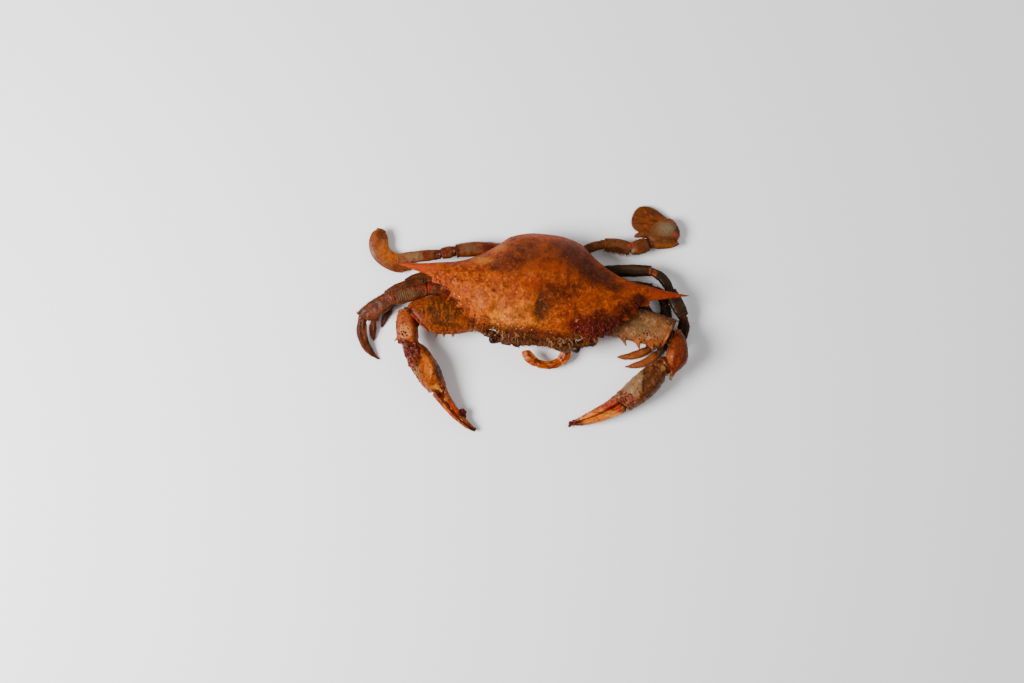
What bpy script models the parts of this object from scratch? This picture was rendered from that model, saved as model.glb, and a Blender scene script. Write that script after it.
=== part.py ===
# A whole cooked blue crab, lying flat on its belly with its limbs spread.
# The origin is on the table under the middle of the body, +Z is up, the claws point to -Y.
# Left is -X and right is +X, as seen from above with the claws nearest to the viewer.

import math

import bmesh
import bpy
from mathutils import Vector

MM = 0.001

# Driving dimensions, in millimetres
SHELL_WIDTH = 168.0        # from the tip of one side spine to the tip of the other
SHELL_TOP = 40.0           # highest point of the back above the table
BELLY_TOP = 11.7           # where the belly ends and the shell above it begins
FRONT_EDGE_HEIGHT = 24.5   # height of the shell's front edge, between the eyes
REAR_EDGE_HEIGHT = 17.0    # height of the shell's rear edge
SPINE_HEIGHT = 24.0        # height of the side spines
PIECE_GAP = 0.3            # clearance between neighbouring pieces
FINGER_GAP = 0.6           # clearance between a claw's two fingers
POCKET_DEPTH = 1.6         # depth of the tail flap's pocket in the belly
POCKET_CUT_DEPTH = 2.0     # how far below the belly the cut for the pocket begins
END_REACH = 0.5            # how far the rounded end of a limb piece stands out
END_SHARE = 0.66           # size of a rounded end's outermost section
BLUNT_THICKNESS = 0.6      # an end thicker than this (half thickness) is rounded
POINT_SHARE = 0.2          # a profile that ends below this share ends in a point
THINNEST = 0.5             # least half thickness of a limb piece
THICKNESS_POWER = 0.75     # a limb gets thinner by this power of its width's share

HALF_WIDTH = SHELL_WIDTH / 2

# Sides and power of the superellipse of each kind of cross-section
LEG_SECTION = (10, 2.2)
ARM_SECTION = (12, 2.4)
CLAW_SECTION = (12, 2.3)
FACE_SECTION = (10, 2.0)
BELLY_SECTION = (28, 2.7)

# Shape of the shell across its width; each pair is where, in x, a change begins and ends
REAR_EDGE_RISE = (22.0, 62.0)      # the rear edge rises to the height of the spines
FRONT_EDGE_FALL = (30.0, 80.0)     # the front edge falls to it
DOME_FOOT = 19.5                   # height from which the dome is measured
DOME_HALF_WIDTH = 76.0             # where the dome has run out
DOME_POWER = 1.8
SPINE_ROUNDING = 0.42              # height of a spine above its edges, as a share of its breadth
SPINE_ROUNDING_RISE = (55.0, 75.0)
WING_LIFT = 8.6                    # how much higher the underside lies beside the belly
WING_LIFT_RISE = (26.0, 52.0)
DEEPEST_SHARE = 0.5                # greatest depth of the underside, as a share of the breadth
SPINE_TIP_SHARE = 0.7              # how far short of the tip the outermost sections stay

# Outline of one half of the shell seen from above, (x, y) from the spine tip to the middle
REAR_OUTLINE = [
    (84.0, 0.0), (71.0, 1.3), (60.0, 3.0), (50.5, 4.8), (44.7, 6.6), (38.0, 10.0),
    (31.0, 14.6), (26.3, 18.4), (20.5, 23.3), (13.5, 25.8), (7.0, 27.0), (0.0, 27.2),
]
FRONT_OUTLINE = [
    (84.0, 0.0), (72.0, -2.9), (61.2, -5.8), (55.2, -9.6), (50.5, -14.0), (46.3, -18.2),
    (42.3, -22.0), (38.5, -25.6), (34.8, -28.6), (30.8, -31.2), (27.0, -31.6),
    (24.0, -31.4), (20.5, -32.6), (18.2, -33.8), (15.5, -34.2), (11.4, -34.8),
    (8.0, -34.6), (4.6, -34.4), (0.0, -33.6),
]
# Teeth of the front edge: x of the root's middle, then how far the tip stands out in x and y
TEETH = [
    (58.2, 5.5, -1.1), (52.9, 5.0, -2.8), (48.4, 4.4, -3.0), (44.3, 3.3, -3.2),
    (40.4, 2.5, -3.2), (36.7, 2.0, -3.1), (32.8, 1.8, -3.0), (29.4, 1.2, -3.8),
    (18.2, 0.2, -2.6), (11.4, 0.0, -3.2), (4.6, 0.0, -2.4),
]
TOOTH_PULL = {0.95: 0.35, 1.0: 1.0}    # share of a tooth's reach, by share of the way to the front
SPINE_STATIONS = [83.0, 80.0, 75.0, 70.0, 65.5]
# Share of the dome's height from the rear edge (0) to the front edge (1)
DOME_PROFILE = [
    (0.0, 0.0), (0.06, 0.35), (0.15, 0.62), (0.3, 0.86), (0.45, 0.95), (0.6, 0.905),
    (0.75, 0.69), (0.88, 0.39), (0.95, 0.18), (1.0, 0.0),
]
# Share of the underside's depth from the front edge (0) to the rear edge (1)
UNDERSIDE_PROFILE = [
    (0.03, 0.34), (0.08, 0.68), (0.17, 0.92), (0.32, 1.0), (0.72, 1.0), (0.88, 0.7),
]

# Colour, roughness and metallic value of each finish
FINISHES = {
    "shell": ((0.60, 0.20, 0.045), 0.42, 0.0),
    "belly": ((0.72, 0.45, 0.24), 0.5, 0.0),
    "claw": ((0.55, 0.23, 0.07), 0.42, 0.0),
    "claw_finger": ((0.66, 0.19, 0.05), 0.4, 0.0),
    "leg": ((0.20, 0.09, 0.045), 0.4, 0.0),
    "swim_leg": ((0.34, 0.15, 0.06), 0.42, 0.0),
    "mouth": ((0.62, 0.24, 0.07), 0.45, 0.0),
    "eye": ((0.02, 0.015, 0.012), 0.2, 0.0),
}

# Limbs, as chains of pieces from the body outwards. The joints are (x, y, height). Each piece has
# its widest half width, its half thickness, and two bows: how far the first and the second
# half of its middle line swing to the left of the way it runs (seen from above). A limb that has
# more than one chain is named before the slash.
LIMBS = {
    "left_front_leg": {
        "clearance": 1.4,
        "joints": [
            (-26.9, -7.1, 8.5), (-64.6, -11.5, 13.2), (-84.0, -18.6, 12.5), (-100.3, -31.4, 8.2),
            (-88.0, -53.2, 0.8),
        ],
        "pieces": ["merus", "carpus", "propodus", "dactyl"],
        "half_widths": [3.8, 4.8, 5.1, 3.0],
        "half_thicknesses": [2.7, 2.8, 2.7, 2.0],
        "bows": [(0.0, 0.0), (0.0, 0.0), (0.0, 0.0), (-2.2, -2.4)],
        "skews": [0.0, 0.0, 26.0, 0.0],
        "arches": [1.4, 0.0, 0.0, 0.0],
    },
    "left_middle_leg": {
        "joints": [
            (-26.9, -0.7, 6.4), (-67.4, -7.2, 7.5), (-88.2, -17.3, 6.6), (-93.8, -32.3, 4.4),
            (-92.2, -43.0, 0.8),
        ],
        "pieces": ["merus", "carpus", "propodus", "dactyl"],
        "half_widths": [3.4, 3.6, 3.4, 2.1],
        "half_thicknesses": [2.0, 2.2, 1.9, 1.4],
        "bows": [(0.0, 0.0), (-0.8, -0.8), (-0.6, -0.6), (-0.3, -0.3)],
    },
    "left_rear_leg": {
        "joints": [
            (-26.6, 6.6, 5.0), (-64.0, -2.0, 3.0), (-77.9, -8.3, 2.5), (-84.8, -22.0, 2.2),
            (-88.7, -34.8, 0.7),
        ],
        "pieces": ["merus", "carpus", "propodus", "dactyl"],
        "half_widths": [3.3, 3.4, 2.9, 2.0],
        "half_thicknesses": [2.0, 1.9, 1.8, 1.3],
        "bows": [(0.0, 0.0), (-0.4, -0.4), (-0.5, -0.5), (-0.3, -0.3)],
    },
    "left_swim_leg": {
        "joints": [(-23.0, 17.0, 7.6), (-51.5, 13.0, 9.3), (-59.5, 10.3, 9.0), (-84.6, 4.7, 8.0)],
        "pieces": ["merus", "carpus", "propodus"],
        "half_widths": [4.1, 3.6, 3.4],
        "half_thicknesses": [3.0, 2.9, 2.2],
        "bows": [(-0.5, -0.5), (0.0, 0.0), (0.0, 0.0)],
    },
    "right_front_leg": {
        "clearance": 1.5,
        "joints": [
            (27.0, -4.2, 5.8), (56.8, -5.2, 5.1), (65.9, -16.2, 4.2), (66.3, -30.2, 3.7),
            (48.1, -36.7, 0.9),
        ],
        "pieces": ["merus", "carpus", "propodus", "dactyl"],
        "half_widths": [3.5, 3.2, 2.9, 2.4],
        "half_thicknesses": [2.4, 2.1, 2.0, 1.4],
        "bows": [(0.0, 0.0), (1.0, 1.0), (0.1, 0.1), (0.8, 0.8)],
    },
    "right_middle_leg": {
        "clearance": 1.4,
        "joints": [
            (26.6, 1.9, 5.8), (64.6, 4.5, 4.9), (72.7, -4.6, 4.5), (73.3, -30.8, 4.0),
            (53.4, -41.7, 0.9),
        ],
        "pieces": ["merus", "carpus", "propodus", "dactyl"],
        "half_widths": [3.5, 3.3, 3.6, 2.5],
        "half_thicknesses": [2.4, 2.1, 2.1, 1.5],
        "bows": [(0.3, 0.3), (1.1, 1.1), (0.5, 0.5), (1.2, 1.2)],
    },
    "right_rear_leg": {
        "joints": [
            (25.9, 9.4, 6.8), (62.5, 14.1, 10.1), (74.1, 3.4, 10.8), (83.3, -10.6, 9.3),
            (80.4, -31.5, 0.9),
        ],
        "pieces": ["merus", "carpus", "propodus", "dactyl"],
        "half_widths": [3.4, 2.8, 3.9, 3.3],
        "half_thicknesses": [2.8, 2.5, 2.7, 2.0],
        "bows": [(0.3, 0.3), (0.9, 0.9), (0.0, 0.0), (1.2, 1.2)],
    },
    "right_swim_leg": {
        "joints": [(18.6, 17.8, 7.4), (33.8, 27.1, 8.0), (49.5, 26.0, 7.5), (58.9, 30.2, 7.0)],
        "pieces": ["ischium", "merus", "carpus"],
        "half_widths": [2.8, 3.9, 4.5],
        "half_thicknesses": [2.4, 2.9, 2.9],
        "bows": [(0.8, 0.8), (0.2, 0.2), (-0.2, -0.2)],
    },
    "left_claw/upper": {
        "clearance": 2.0,
        "joints": [(-26.4, -19.2, 7.8), (-35.7, -23.6, 10.4), (-69.4, -29.6, 14.8)],
        "pieces": ["ischium", "big_merus"],
        "half_widths": [5.5, 10.9],
        "half_thicknesses": [3.3, 6.3],
        "bows": [(0.0, 0.0), (-0.8, -1.3)],
        "skews": [0.0, 24.0],
    },
    "left_claw/wrist": {
        "joints": [(-75.0, -25.0, 15.2), (-71.2, -44.2, 14.2)],
        "pieces": ["big_carpus"],
        "half_widths": [6.2],
        "half_thicknesses": [6.4],
        "bows": [(0.0, 0.0)],
    },
    "right_claw/upper": {
        "clearance": 1.4,
        "joints": [(26.4, -14.4, 7.8), (35.7, -17.3, 10.4), (76.3, -21.9, 14.8)],
        "pieces": ["ischium", "big_merus"],
        "half_widths": [5.4, 9.2],
        "half_thicknesses": [3.2, 6.3],
        "bows": [(0.0, 0.0), (0.8, 0.8)],
        "skews": [0.0, -7.0],
    },
    "right_claw/wrist": {
        "joints": [(79.9, -19.6, 15.2), (78.6, -47.6, 14.2)],
        "pieces": ["spined_carpus"],
        "half_widths": [6.2],
        "half_thicknesses": [6.4],
        "bows": [(1.5, 0.6)],
    },
    "left_swim_leg/paddle": {
        "joints": [(-76.4, 1.2, 3.0), (-96.4, 21.0, 6.2)],
        "pieces": ["dactyl_blade"],
        "half_widths": [5.6],
        "half_thicknesses": [1.2],
        "bows": [(2.9, 6.0)],
    },
    "mouth_leg/root": {
        "joints": [(13.8, -31.2, 9.8), (17.9, -38.4, 8.2)],
        "pieces": ["root"],
        "half_widths": [2.2],
        "half_thicknesses": [1.9],
        "bows": [(0.6, 0.6)],
    },
}
# Share of a piece's full width along its length
PROFILES = {
    "ischium": [(0.0, 0.86), (0.5, 1.0), (1.0, 0.86)],
    "merus": [(0.0, 0.66), (0.35, 0.93), (0.7, 1.0), (1.0, 0.76)],
    "carpus": [(0.0, 0.62), (0.3, 0.94), (0.7, 1.0), (1.0, 0.72)],
    "propodus": [(0.0, 0.64), (0.3, 0.98), (0.7, 1.0), (1.0, 0.64)],
    "dactyl": [(0.0, 0.72), (0.2, 1.0), (0.48, 0.86), (0.76, 0.6), (1.0, 0.13)],
    "big_merus": [
        (0.0, 0.52), (0.13, 0.76), (0.35, 0.92), (0.6, 1.0), (0.82, 0.96), (0.94, 0.84),
        (1.0, 0.62),
    ],
    "big_carpus": [(0.0, 0.39), (0.2, 0.74), (0.5, 1.0), (0.84, 0.98), (1.0, 0.74)],
    "spined_carpus": [
        (0.0, 0.4), (0.13, 0.66), (0.33, 0.88), (0.52, 1.0), (0.68, 0.7), (0.82, 0.3),
        (1.0, 0.07),
    ],
    "blade": [
        (0.0, 0.44), (0.1, 0.85), (0.25, 0.98), (0.4, 0.95), (0.55, 0.95), (0.7, 1.0),
        (0.82, 1.0), (0.91, 0.93), (0.97, 0.76), (1.0, 0.5),
    ],
    "root": [(0.0, 0.62), (0.4, 0.9), (1.0, 1.0)],
}
# Spines: how far along its piece each one grows, on the front (-1) or back (1) edge, and its reach
SPINES = {
    "left_claw_merus": [(0.35, -1, 0.4, -2.4), (0.6, -1, 0.6, -2.4), (0.82, -1, -0.4, -2.6)],
    "right_claw_merus": [
        (0.35, -1, 2.6, -4.4), (0.6, -1, 1.6, -4.6), (0.82, -1, 2.0, -3.4), (0.94, 1, 5.4, -1.0),
    ],
    "left_claw_carpus": [(0.84, -1, -1.6, -2.0)],
}
SPINE_FOOT = 0.05          # half the length of a spine's foot, as a share of its piece

# The two broad plates of the right swimming leg: the middle they swell from, their outline seen
# from above, and the heights of their lowest and highest point
PLATES = {
    "right_swim_leg_propodus": {
        "middle": (65.5, 37.0),
        "outline": [
            (50.2, 33.5), (51.0, 35.4), (53.4, 36.6), (56.0, 37.4), (58.2, 39.7), (61.5, 42.8),
            (65.6, 45.4), (69.9, 46.6), (72.8, 45.0), (75.1, 42.1), (76.4, 39.0), (76.3, 36.0),
            (75.3, 33.9), (76.5, 32.3), (75.1, 30.7), (71.6, 29.1), (66.0, 27.9), (62.0, 28.2),
            (60.4, 30.4), (58.9, 32.3), (56.9, 33.4), (54.2, 33.4), (51.8, 33.0),
        ],
        "heights": (4.2, 7.8),
    },
    "right_swim_leg_dactyl": {
        "middle": (59.0, 44.5),
        "outline": [
            (48.0, 42.2), (48.6, 47.5), (51.1, 51.5), (54.2, 52.7), (57.9, 52.6), (62.5, 50.9),
            (66.4, 48.4), (69.4, 46.4), (69.8, 43.5), (67.0, 40.8), (62.5, 38.6), (57.5, 36.9),
            (53.4, 37.0), (49.9, 38.7),
        ],
        "heights": (1.2, 3.7),
    },
}
# Share of a plate's height, and of its outline's size at that height
PLATE_LEVELS = [(0.0, 0.86), (0.2, 0.97), (0.4, 1.0), (0.62, 0.96), (0.86, 0.8), (1.0, 0.45)]
CURVE_STEPS = 2            # points of a plate's curved outline for each point given

# Claws from the wrist to the tips of their two fingers, which lie side by side
CLAWS = {
    "left_claw": {
        "wrist": (-69.3, -45.4, 13.6), "tip": (-28.0, -88.0, 2.6), "bows": (0.0, -3.3),
        "palm_half_width": 7.0, "finger_half_width": 4.0, "half_thickness": 6.8, "moving_side": 1,
    },
    "right_claw": {
        "wrist": (71.9, -42.2, 13.6), "tip": (26.2, -77.8, 2.6), "bows": (2.85, 2.85),
        "palm_half_width": 7.4, "finger_half_width": 5.4, "half_thickness": 7.0, "moving_side": -1,
    },
}
PALM_PROFILE = [
    (0.0, 0.6), (0.05, 0.85), (0.14, 0.98), (0.23, 1.0), (0.31, 0.98), (0.385, 0.89),
]
PALM_END = 0.46            # how far from the wrist the palm ends and the fingers begin
FINGER_PROFILE = [(0.55, 1.0), (0.645, 0.86), (0.74, 0.76), (0.835, 0.62), (0.92, 0.43), (1.0, 0.19)]
FINGER_THICKNESS = 0.62    # of the palm's thickness
THINNEST_FINGER = 0.28     # least share of the finger's thickness
SHOULDER_SHARE = 0.3       # where the fixed finger's half begins, from the palm's end to the fingers
ROOT_SHARE = 0.48          # where the moving finger begins, likewise

# Curved mouth leg: an arc seen from above, its ends as angles in degrees
MOUTH_ARC = {
    "middle": (6.8, -37.8), "radius_x": 11.5, "radius_y": 8.5, "from": -12.0, "to": -170.0,
    "height": 7.4, "sag": 3.6, "half_width": 2.9, "half_thickness": 2.2, "steps": 8,
    "sag_start": 0.05, "sag_rate": 1.3, "sag_power": 0.8, "end_size": 0.76, "size_power": 0.6,
}
JOINT_CLEARANCE = 1.2      # from a joint's middle to the full section of either piece

# Eyes and their stalks: stations (x, y, height, half width, half thickness), for the right side
EYE_SIZES = [
    (16.4, -34.0, 18.6, 1.1, 1.0), (18.4, -35.9, 19.4, 1.2, 1.1), (20.4, -36.5, 19.9, 1.5, 1.4),
    (22.2, -36.5, 20.2, 2.4, 2.2), (24.2, -36.4, 20.4, 2.7, 2.5),
    (26.0, -36.2, 20.5, 2.0, 1.9),
]
# Plates that close the mouth, for the right side: (x, y, height, half width, half thickness)
MOUTH_PLATE_SIZES = [
    (5.4, -31.3, 3.6, 2.4, 1.0), (5.7, -31.8, 5.4, 4.0, 1.5), (5.9, -32.4, 8.2, 4.4, 1.6),
    (5.9, -33.4, 10.8, 3.8, 1.5), (5.8, -34.2, 12.6, 2.0, 1.0),
]

# Belly seen from above: half width, y of the middle and half length
BELLY_SIZE = (26.8, -4.2, 25.6)
BELLY_LEVELS = [(0.0, 0.8), (1.0, 0.88), (3.6, 0.965), (7.0, 1.0), (10.2, 0.99), (BELLY_TOP, 0.95)]
# Tail flap under the belly, half outline (x, y) from its root at the rear to its tip
TAIL_FLAP = [(13.5, 15.4), (12.4, 11.8), (5.6, 8.2), (3.8, 0.0), (3.2, -9.0), (1.4, -14.6)]


def clear_scene():
    for obj in list(bpy.data.objects):
        bpy.data.objects.remove(obj)


def make_finishes():
    finishes = {}
    for name, (colour, roughness, metallic) in FINISHES.items():
        material = bpy.data.materials.new(name)
        material.use_nodes = True
        shader = material.node_tree.nodes["Principled BSDF"]
        shader.inputs["Base Color"].default_value = (*colour, 1.0)
        shader.inputs["Roughness"].default_value = roughness
        shader.inputs["Metallic"].default_value = metallic
        finishes[name] = material
    return finishes


def interpolate(table, x):
    """Height of the straight-line graph through the table's points at x, in either order of x."""
    points = sorted(table)
    for (x0, y0), (x1, y1) in zip(points, points[1:]):
        if x <= x1:
            return y0 + (y1 - y0) * (x - x0) / (x1 - x0)
    return points[-1][1]


def ease(x, low, high):
    """Smooth step from 0 at low to 1 at high."""
    t = min(1.0, max(0.0, (x - low) / (high - low)))
    return t * t * (3 - 2 * t)


def add_object(name, bm, material, smooth_angle=35.0):
    """Turns the bmesh into an object with this name and finish."""
    bmesh.ops.recalc_face_normals(bm, faces=bm.faces)
    mesh = bpy.data.meshes.new(name)
    bm.to_mesh(mesh)
    bm.free()
    mesh.shade_smooth()
    mesh.set_sharp_from_angle(angle=math.radians(smooth_angle))
    mesh.materials.append(material)
    obj = bpy.data.objects.new(name, mesh)
    bpy.context.scene.collection.objects.link(obj)
    return obj


def skin_rings(bm, rings):
    """Joins each ring of points to the next with quads, and closes both ends with a fan."""
    loops = [[bm.verts.new(Vector(p) * MM) for p in ring] for ring in rings]
    for low, high in zip(loops, loops[1:]):
        for i in range(len(low)):
            j = (i + 1) % len(low)
            bm.faces.new((low[i], low[j], high[j], high[i]))
    for ring, loop in ((rings[0], loops[0]), (rings[-1], loops[-1])):
        middle = sum((Vector(p) for p in ring), Vector()) / len(ring)
        tip = bm.verts.new(middle * MM)
        for i in range(len(loop)):
            bm.faces.new((loop[i], loop[(i + 1) % len(loop)], tip))


def section(station, sides, power):
    """Closed cross-section between a station's two edges: a superellipse of this power."""
    ax, ay, bx, by, height, half = station
    middle = Vector(((ax + bx) / 2, (ay + by) / 2, height))
    across = Vector(((bx - ax) / 2, (by - ay) / 2, 0.0))
    ring = []
    for i in range(sides):
        angle = 2 * math.pi * i / sides
        c, s = math.cos(angle), math.sin(angle)
        sideways = math.copysign(abs(c) ** (2 / power), c)
        upward = math.copysign(abs(s) ** (2 / power), s)
        ring.append(middle + across * sideways + Vector((0, 0, half * upward)))
    return ring


def edges_from_centres(stations):
    """Turns (x, y, height, half width, half thickness) stations into edge stations across the path."""
    found = []
    for i, (x, y, height, half_width, half) in enumerate(stations):
        x0, y0 = stations[max(i - 1, 0)][:2]
        x1, y1 = stations[min(i + 1, len(stations) - 1)][:2]
        along = Vector((x1 - x0, y1 - y0)).normalized()
        side = Vector((along.y, -along.x)) * half_width
        found.append((x + side.x, y + side.y, x - side.x, y - side.y, height, half))
    return found


def between(first, second, share):
    return tuple(a + (b - a) * share for a, b in zip(first, second))


def swing(share, bows):
    """Sideways swing of a middle line: each bow is its reach at one or two thirds of the length."""
    early, late = bows
    return 6.75 * share * (1 - share) * (early * (1 - share) + late * share)


def middle_line(start, end, bows, shares, arch=0.0):
    """Points at these shares of the way from start to end, swung to the left and arched upwards."""
    run = Vector((end[0] - start[0], end[1] - start[1])).normalized()
    points = []
    for share in shares:
        x, y, z = between(start, end, share)
        reach = swing(share, bows)
        lift = arch * 4 * share * (1 - share)
        points.append((x - run.y * reach, y + run.x * reach, z + lift))
    return points


def turn_across(station, degrees):
    """Turns a station's two edges about its middle, seen from above."""
    ax, ay, bx, by, height, half = station
    middle = Vector(((ax + bx) / 2, (ay + by) / 2))
    reach = Vector(((bx - ax) / 2, (by - ay) / 2))
    angle = math.radians(degrees)
    c, s = math.cos(angle), math.sin(angle)
    reach = Vector((reach.x * c - reach.y * s, reach.x * s + reach.y * c))
    return (*(middle - reach), *(middle + reach), height, half)


def limb_piece(limb, index):
    """Stations of one piece of a limb, as (share of its length, edge station) pairs."""
    start, end = Vector(limb["joints"][index]), Vector(limb["joints"][index + 1])
    piece = limb["pieces"][index]
    profile = PROFILES.get(piece) or PROFILES[piece.split("_", 1)[1]]
    along = (end - start).normalized()
    clearance = limb.get("clearance", JOINT_CLEARANCE)
    start = start + along * clearance
    if profile[-1][1] > POINT_SHARE:
        end = end - along * clearance
    shares = [share for share, _ in profile]
    arch = limb.get("arches", [0.0] * 9)[index]
    line = middle_line(start, end, limb["bows"][index], shares, arch)
    half_width, half = limb["half_widths"][index], limb["half_thicknesses"][index]
    stations = edges_from_centres(
        [
            (*p, half_width * w, max(THINNEST, half * w ** THICKNESS_POWER))
            for p, (_, w) in zip(line, profile)
        ]
    )
    skew = limb.get("skews", [0.0] * 9)[index]
    return [(t, turn_across(station, skew * t * t)) for t, station in zip(shares, stations)]


def rounded_end(end, inner):
    """A smaller section just beyond a piece's last station, so that its end is rounded."""
    middle = Vector(((end[0] + end[2]) / 2, (end[1] + end[3]) / 2, end[4]))
    before = Vector(((inner[0] + inner[2]) / 2, (inner[1] + inner[3]) / 2, inner[4]))
    beyond = middle + (middle - before).normalized() * END_REACH
    half_x, half_y = (end[2] - end[0]) / 2 * END_SHARE, (end[3] - end[1]) / 2 * END_SHARE
    return (
        beyond.x - half_x, beyond.y - half_y, beyond.x + half_x, beyond.y + half_y,
        beyond.z, end[5] * END_SHARE,
    )


def with_rounded_ends(stations):
    """The stations with a rounded end on each side that is not already a point."""
    first = [rounded_end(stations[0], stations[1])] if stations[0][5] > BLUNT_THICKNESS else []
    last = [rounded_end(stations[-1], stations[-2])] if stations[-1][5] > BLUNT_THICKNESS else []
    return [*first, *stations, *last]


def with_spines(piece, spines, sides, power):
    """Sections of a piece, with one edge point pulled out to a spine's tip between two feet."""
    shares, stations = [share for share, _ in piece], [station for _, station in piece]
    wanted = {share: None for share in shares}
    for share, edge, dx, dy in spines:
        wanted.update({share - SPINE_FOOT: None, share: (edge, dx, dy), share + SPINE_FOOT: None})
    dense = []
    for share in sorted(wanted):
        i = max(k for k, value in enumerate(shares[:-1]) if value <= share)
        part = (share - shares[i]) / (shares[i + 1] - shares[i])
        dense.append((between(stations[i], stations[i + 1], part), wanted[share]))
    whole = with_rounded_ends([station for station, _ in dense])
    rings = [section(station, sides, power) for station in whole]
    skipped = 1 if stations[0][5] > BLUNT_THICKNESS else 0
    for i, (_, spine) in enumerate(dense):
        if spine:
            edge, dx, dy = spine
            ring = rings[i + skipped]
            ends = sorted((0, sides // 2), key=lambda k: ring[k].y * edge)
            ring[ends[1]] = ring[ends[1]] + Vector((dx, dy, 0.0))
    return rings


def node_name(limb_name, piece):
    """A piece's name, such as left_front_leg_merus."""
    plain = piece
    for word in ("big_", "spined_", "_blade"):
        plain = plain.replace(word, "")
    return limb_name.split("/")[0] + "_" + plain


def build_limbs(finishes):
    for limb_name, limb in LIMBS.items():
        for index, piece in enumerate(limb["pieces"]):
            name = node_name(limb_name, piece)
            arm = "claw" in name
            flat = "blade" in piece
            finish = "claw" if arm else "swim_leg" if flat or "swim" in name else "leg"
            if "mouth" in name:
                finish = "mouth"
            sides, power = ARM_SECTION if arm or flat else LEG_SECTION
            rings = with_spines(limb_piece(limb, index), SPINES.get(name, []), sides, power)
            bm = bmesh.new()
            skin_rings(bm, rings)
            add_object(name, bm, finishes[finish])


def curved_outline(outline, steps):
    """A smooth closed curve through the outline's points (Catmull-Rom), with this many steps each."""
    points = [Vector(p) for p in outline]
    found = []
    for i, start in enumerate(points):
        before, end, after = points[i - 1], points[(i + 1) % len(points)], points[(i + 2) % len(points)]
        for k in range(steps):
            t = k / steps
            bend = 2 * before - 5 * start + 4 * end - after
            twist = 3 * start - before - 3 * end + after
            found.append(start + 0.5 * t * (end - before + t * (bend + t * twist)))
    return found


def build_plates(finishes):
    """Broad plates: their outline stacked in levels that shrink towards the plate's middle."""
    for name, plate in PLATES.items():
        low, high = plate["heights"]
        middle = Vector(plate["middle"])
        outline = curved_outline(plate["outline"], CURVE_STEPS)
        rings = []
        for rise, size in PLATE_LEVELS:
            ring = [middle + (point - middle) * size for point in outline]
            rings.append([Vector((x, y, low + (high - low) * rise)) for x, y in ring])
        bm = bmesh.new()
        skin_rings(bm, rings)
        add_object(name, bm, finishes["swim_leg"])


def finger_part(station, side):
    """The half of a claw station that one finger takes: the half on the first edge for side 1."""
    ax, ay, bx, by, height, half = station
    gap = FINGER_GAP / 2 / math.hypot(bx - ax, by - ay)
    low, high = (0.0, 0.5 - gap) if side > 0 else (0.5 + gap, 1.0)
    return (
        ax + (bx - ax) * low, ay + (by - ay) * low,
        ax + (bx - ax) * high, ay + (by - ay) * high, height, half,
    )


def build_claws(finishes):
    """Each claw is a palm that runs on as the fixed finger, and a moving finger beside it."""
    sides, power = CLAW_SECTION
    for name, claw in CLAWS.items():
        palm_width, finger_width = claw["palm_half_width"], claw["finger_half_width"]
        thickness = claw["half_thickness"]
        end_width = (PALM_PROFILE[-1][1] * palm_width + finger_width) / 2
        end_thickness = (PALM_PROFILE[-1][1] + FINGER_THICKNESS) / 2 * thickness
        sizes = [(share, palm_width * w, thickness * w) for share, w in PALM_PROFILE]
        sizes += [(PALM_END, end_width, end_thickness)]
        for share, w in FINGER_PROFILE:
            sizes.append((share, finger_width * w, thickness * FINGER_THICKNESS * max(w, THINNEST_FINGER)))
        line = middle_line(claw["wrist"], claw["tip"], claw["bows"], [size[0] for size in sizes])
        stations = edges_from_centres([(*p, w, h) for p, (_, w, h) in zip(line, sizes)])
        palm, fingers = stations[: len(PALM_PROFILE) + 1], stations[len(PALM_PROFILE) + 1 :]

        shoulder = between(palm[-1], fingers[0], SHOULDER_SHARE)
        fixed = [finger_part(station, -claw["moving_side"]) for station in [shoulder, *fingers]]
        bm = bmesh.new()
        skin_rings(bm, [section(s, sides, power) for s in with_rounded_ends([*palm, *fixed])])
        add_object(name + "_palm", bm, finishes["claw"])

        root = between(palm[-1], fingers[0], ROOT_SHARE)
        moving = [finger_part(station, claw["moving_side"]) for station in [root, *fingers]]
        bm = bmesh.new()
        skin_rings(bm, [section(s, sides, power) for s in with_rounded_ends(moving)])
        add_object(name + "_finger", bm, finishes["claw_finger"])


def build_mouth_leg(finishes):
    """The curved leg that hangs from the mouth: a tube along an arc, lowest at its front."""
    arc = MOUTH_ARC
    sides, power = LEG_SECTION
    stations = []
    for i in range(arc["steps"] + 1):
        share = i / arc["steps"]
        angle = math.radians(arc["from"] + (arc["to"] - arc["from"]) * share)
        x = arc["middle"][0] + arc["radius_x"] * math.cos(angle)
        y = arc["middle"][1] + arc["radius_y"] * math.sin(angle)
        fall = min(1.0, share * arc["sag_rate"] + arc["sag_start"])
        height = arc["height"] - arc["sag"] * math.sin(math.pi * fall) ** arc["sag_power"]
        swell = abs(math.sin(math.pi * share)) ** arc["size_power"]
        size = arc["end_size"] + (1 - arc["end_size"]) * swell
        stations.append((x, y, height, arc["half_width"] * size, arc["half_thickness"] * size))
    bm = bmesh.new()
    skin_rings(
        bm, [section(s, sides, power) for s in with_rounded_ends(edges_from_centres(stations))]
    )
    add_object("mouth_leg_palp", bm, finishes["mouth"])


def build_face(finishes):
    """Eyes on their stalks, and the two upright plates that close the mouth."""
    sides, power = FACE_SECTION
    for side, sign in (("left", -1), ("right", 1)):
        stations = [(sign * x, *rest) for x, *rest in EYE_SIZES]
        bm = bmesh.new()
        skin_rings(bm, [section(s, sides, power) for s in edges_from_centres(stations)])
        add_object(side + "_eye", bm, finishes["eye"])

        rings = []
        for x, y, height, half_width, half in MOUTH_PLATE_SIZES:
            ring = []
            for i in range(sides):
                angle = 2 * math.pi * i / sides
                dx, dy = half_width * math.cos(angle), half * math.sin(angle)
                ring.append(Vector((sign * x + dx, y + dy, height)))
            rings.append(ring)
        bm = bmesh.new()
        skin_rings(bm, rings)
        add_object(side + "_mouth_plate", bm, finishes["belly"])


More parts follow.
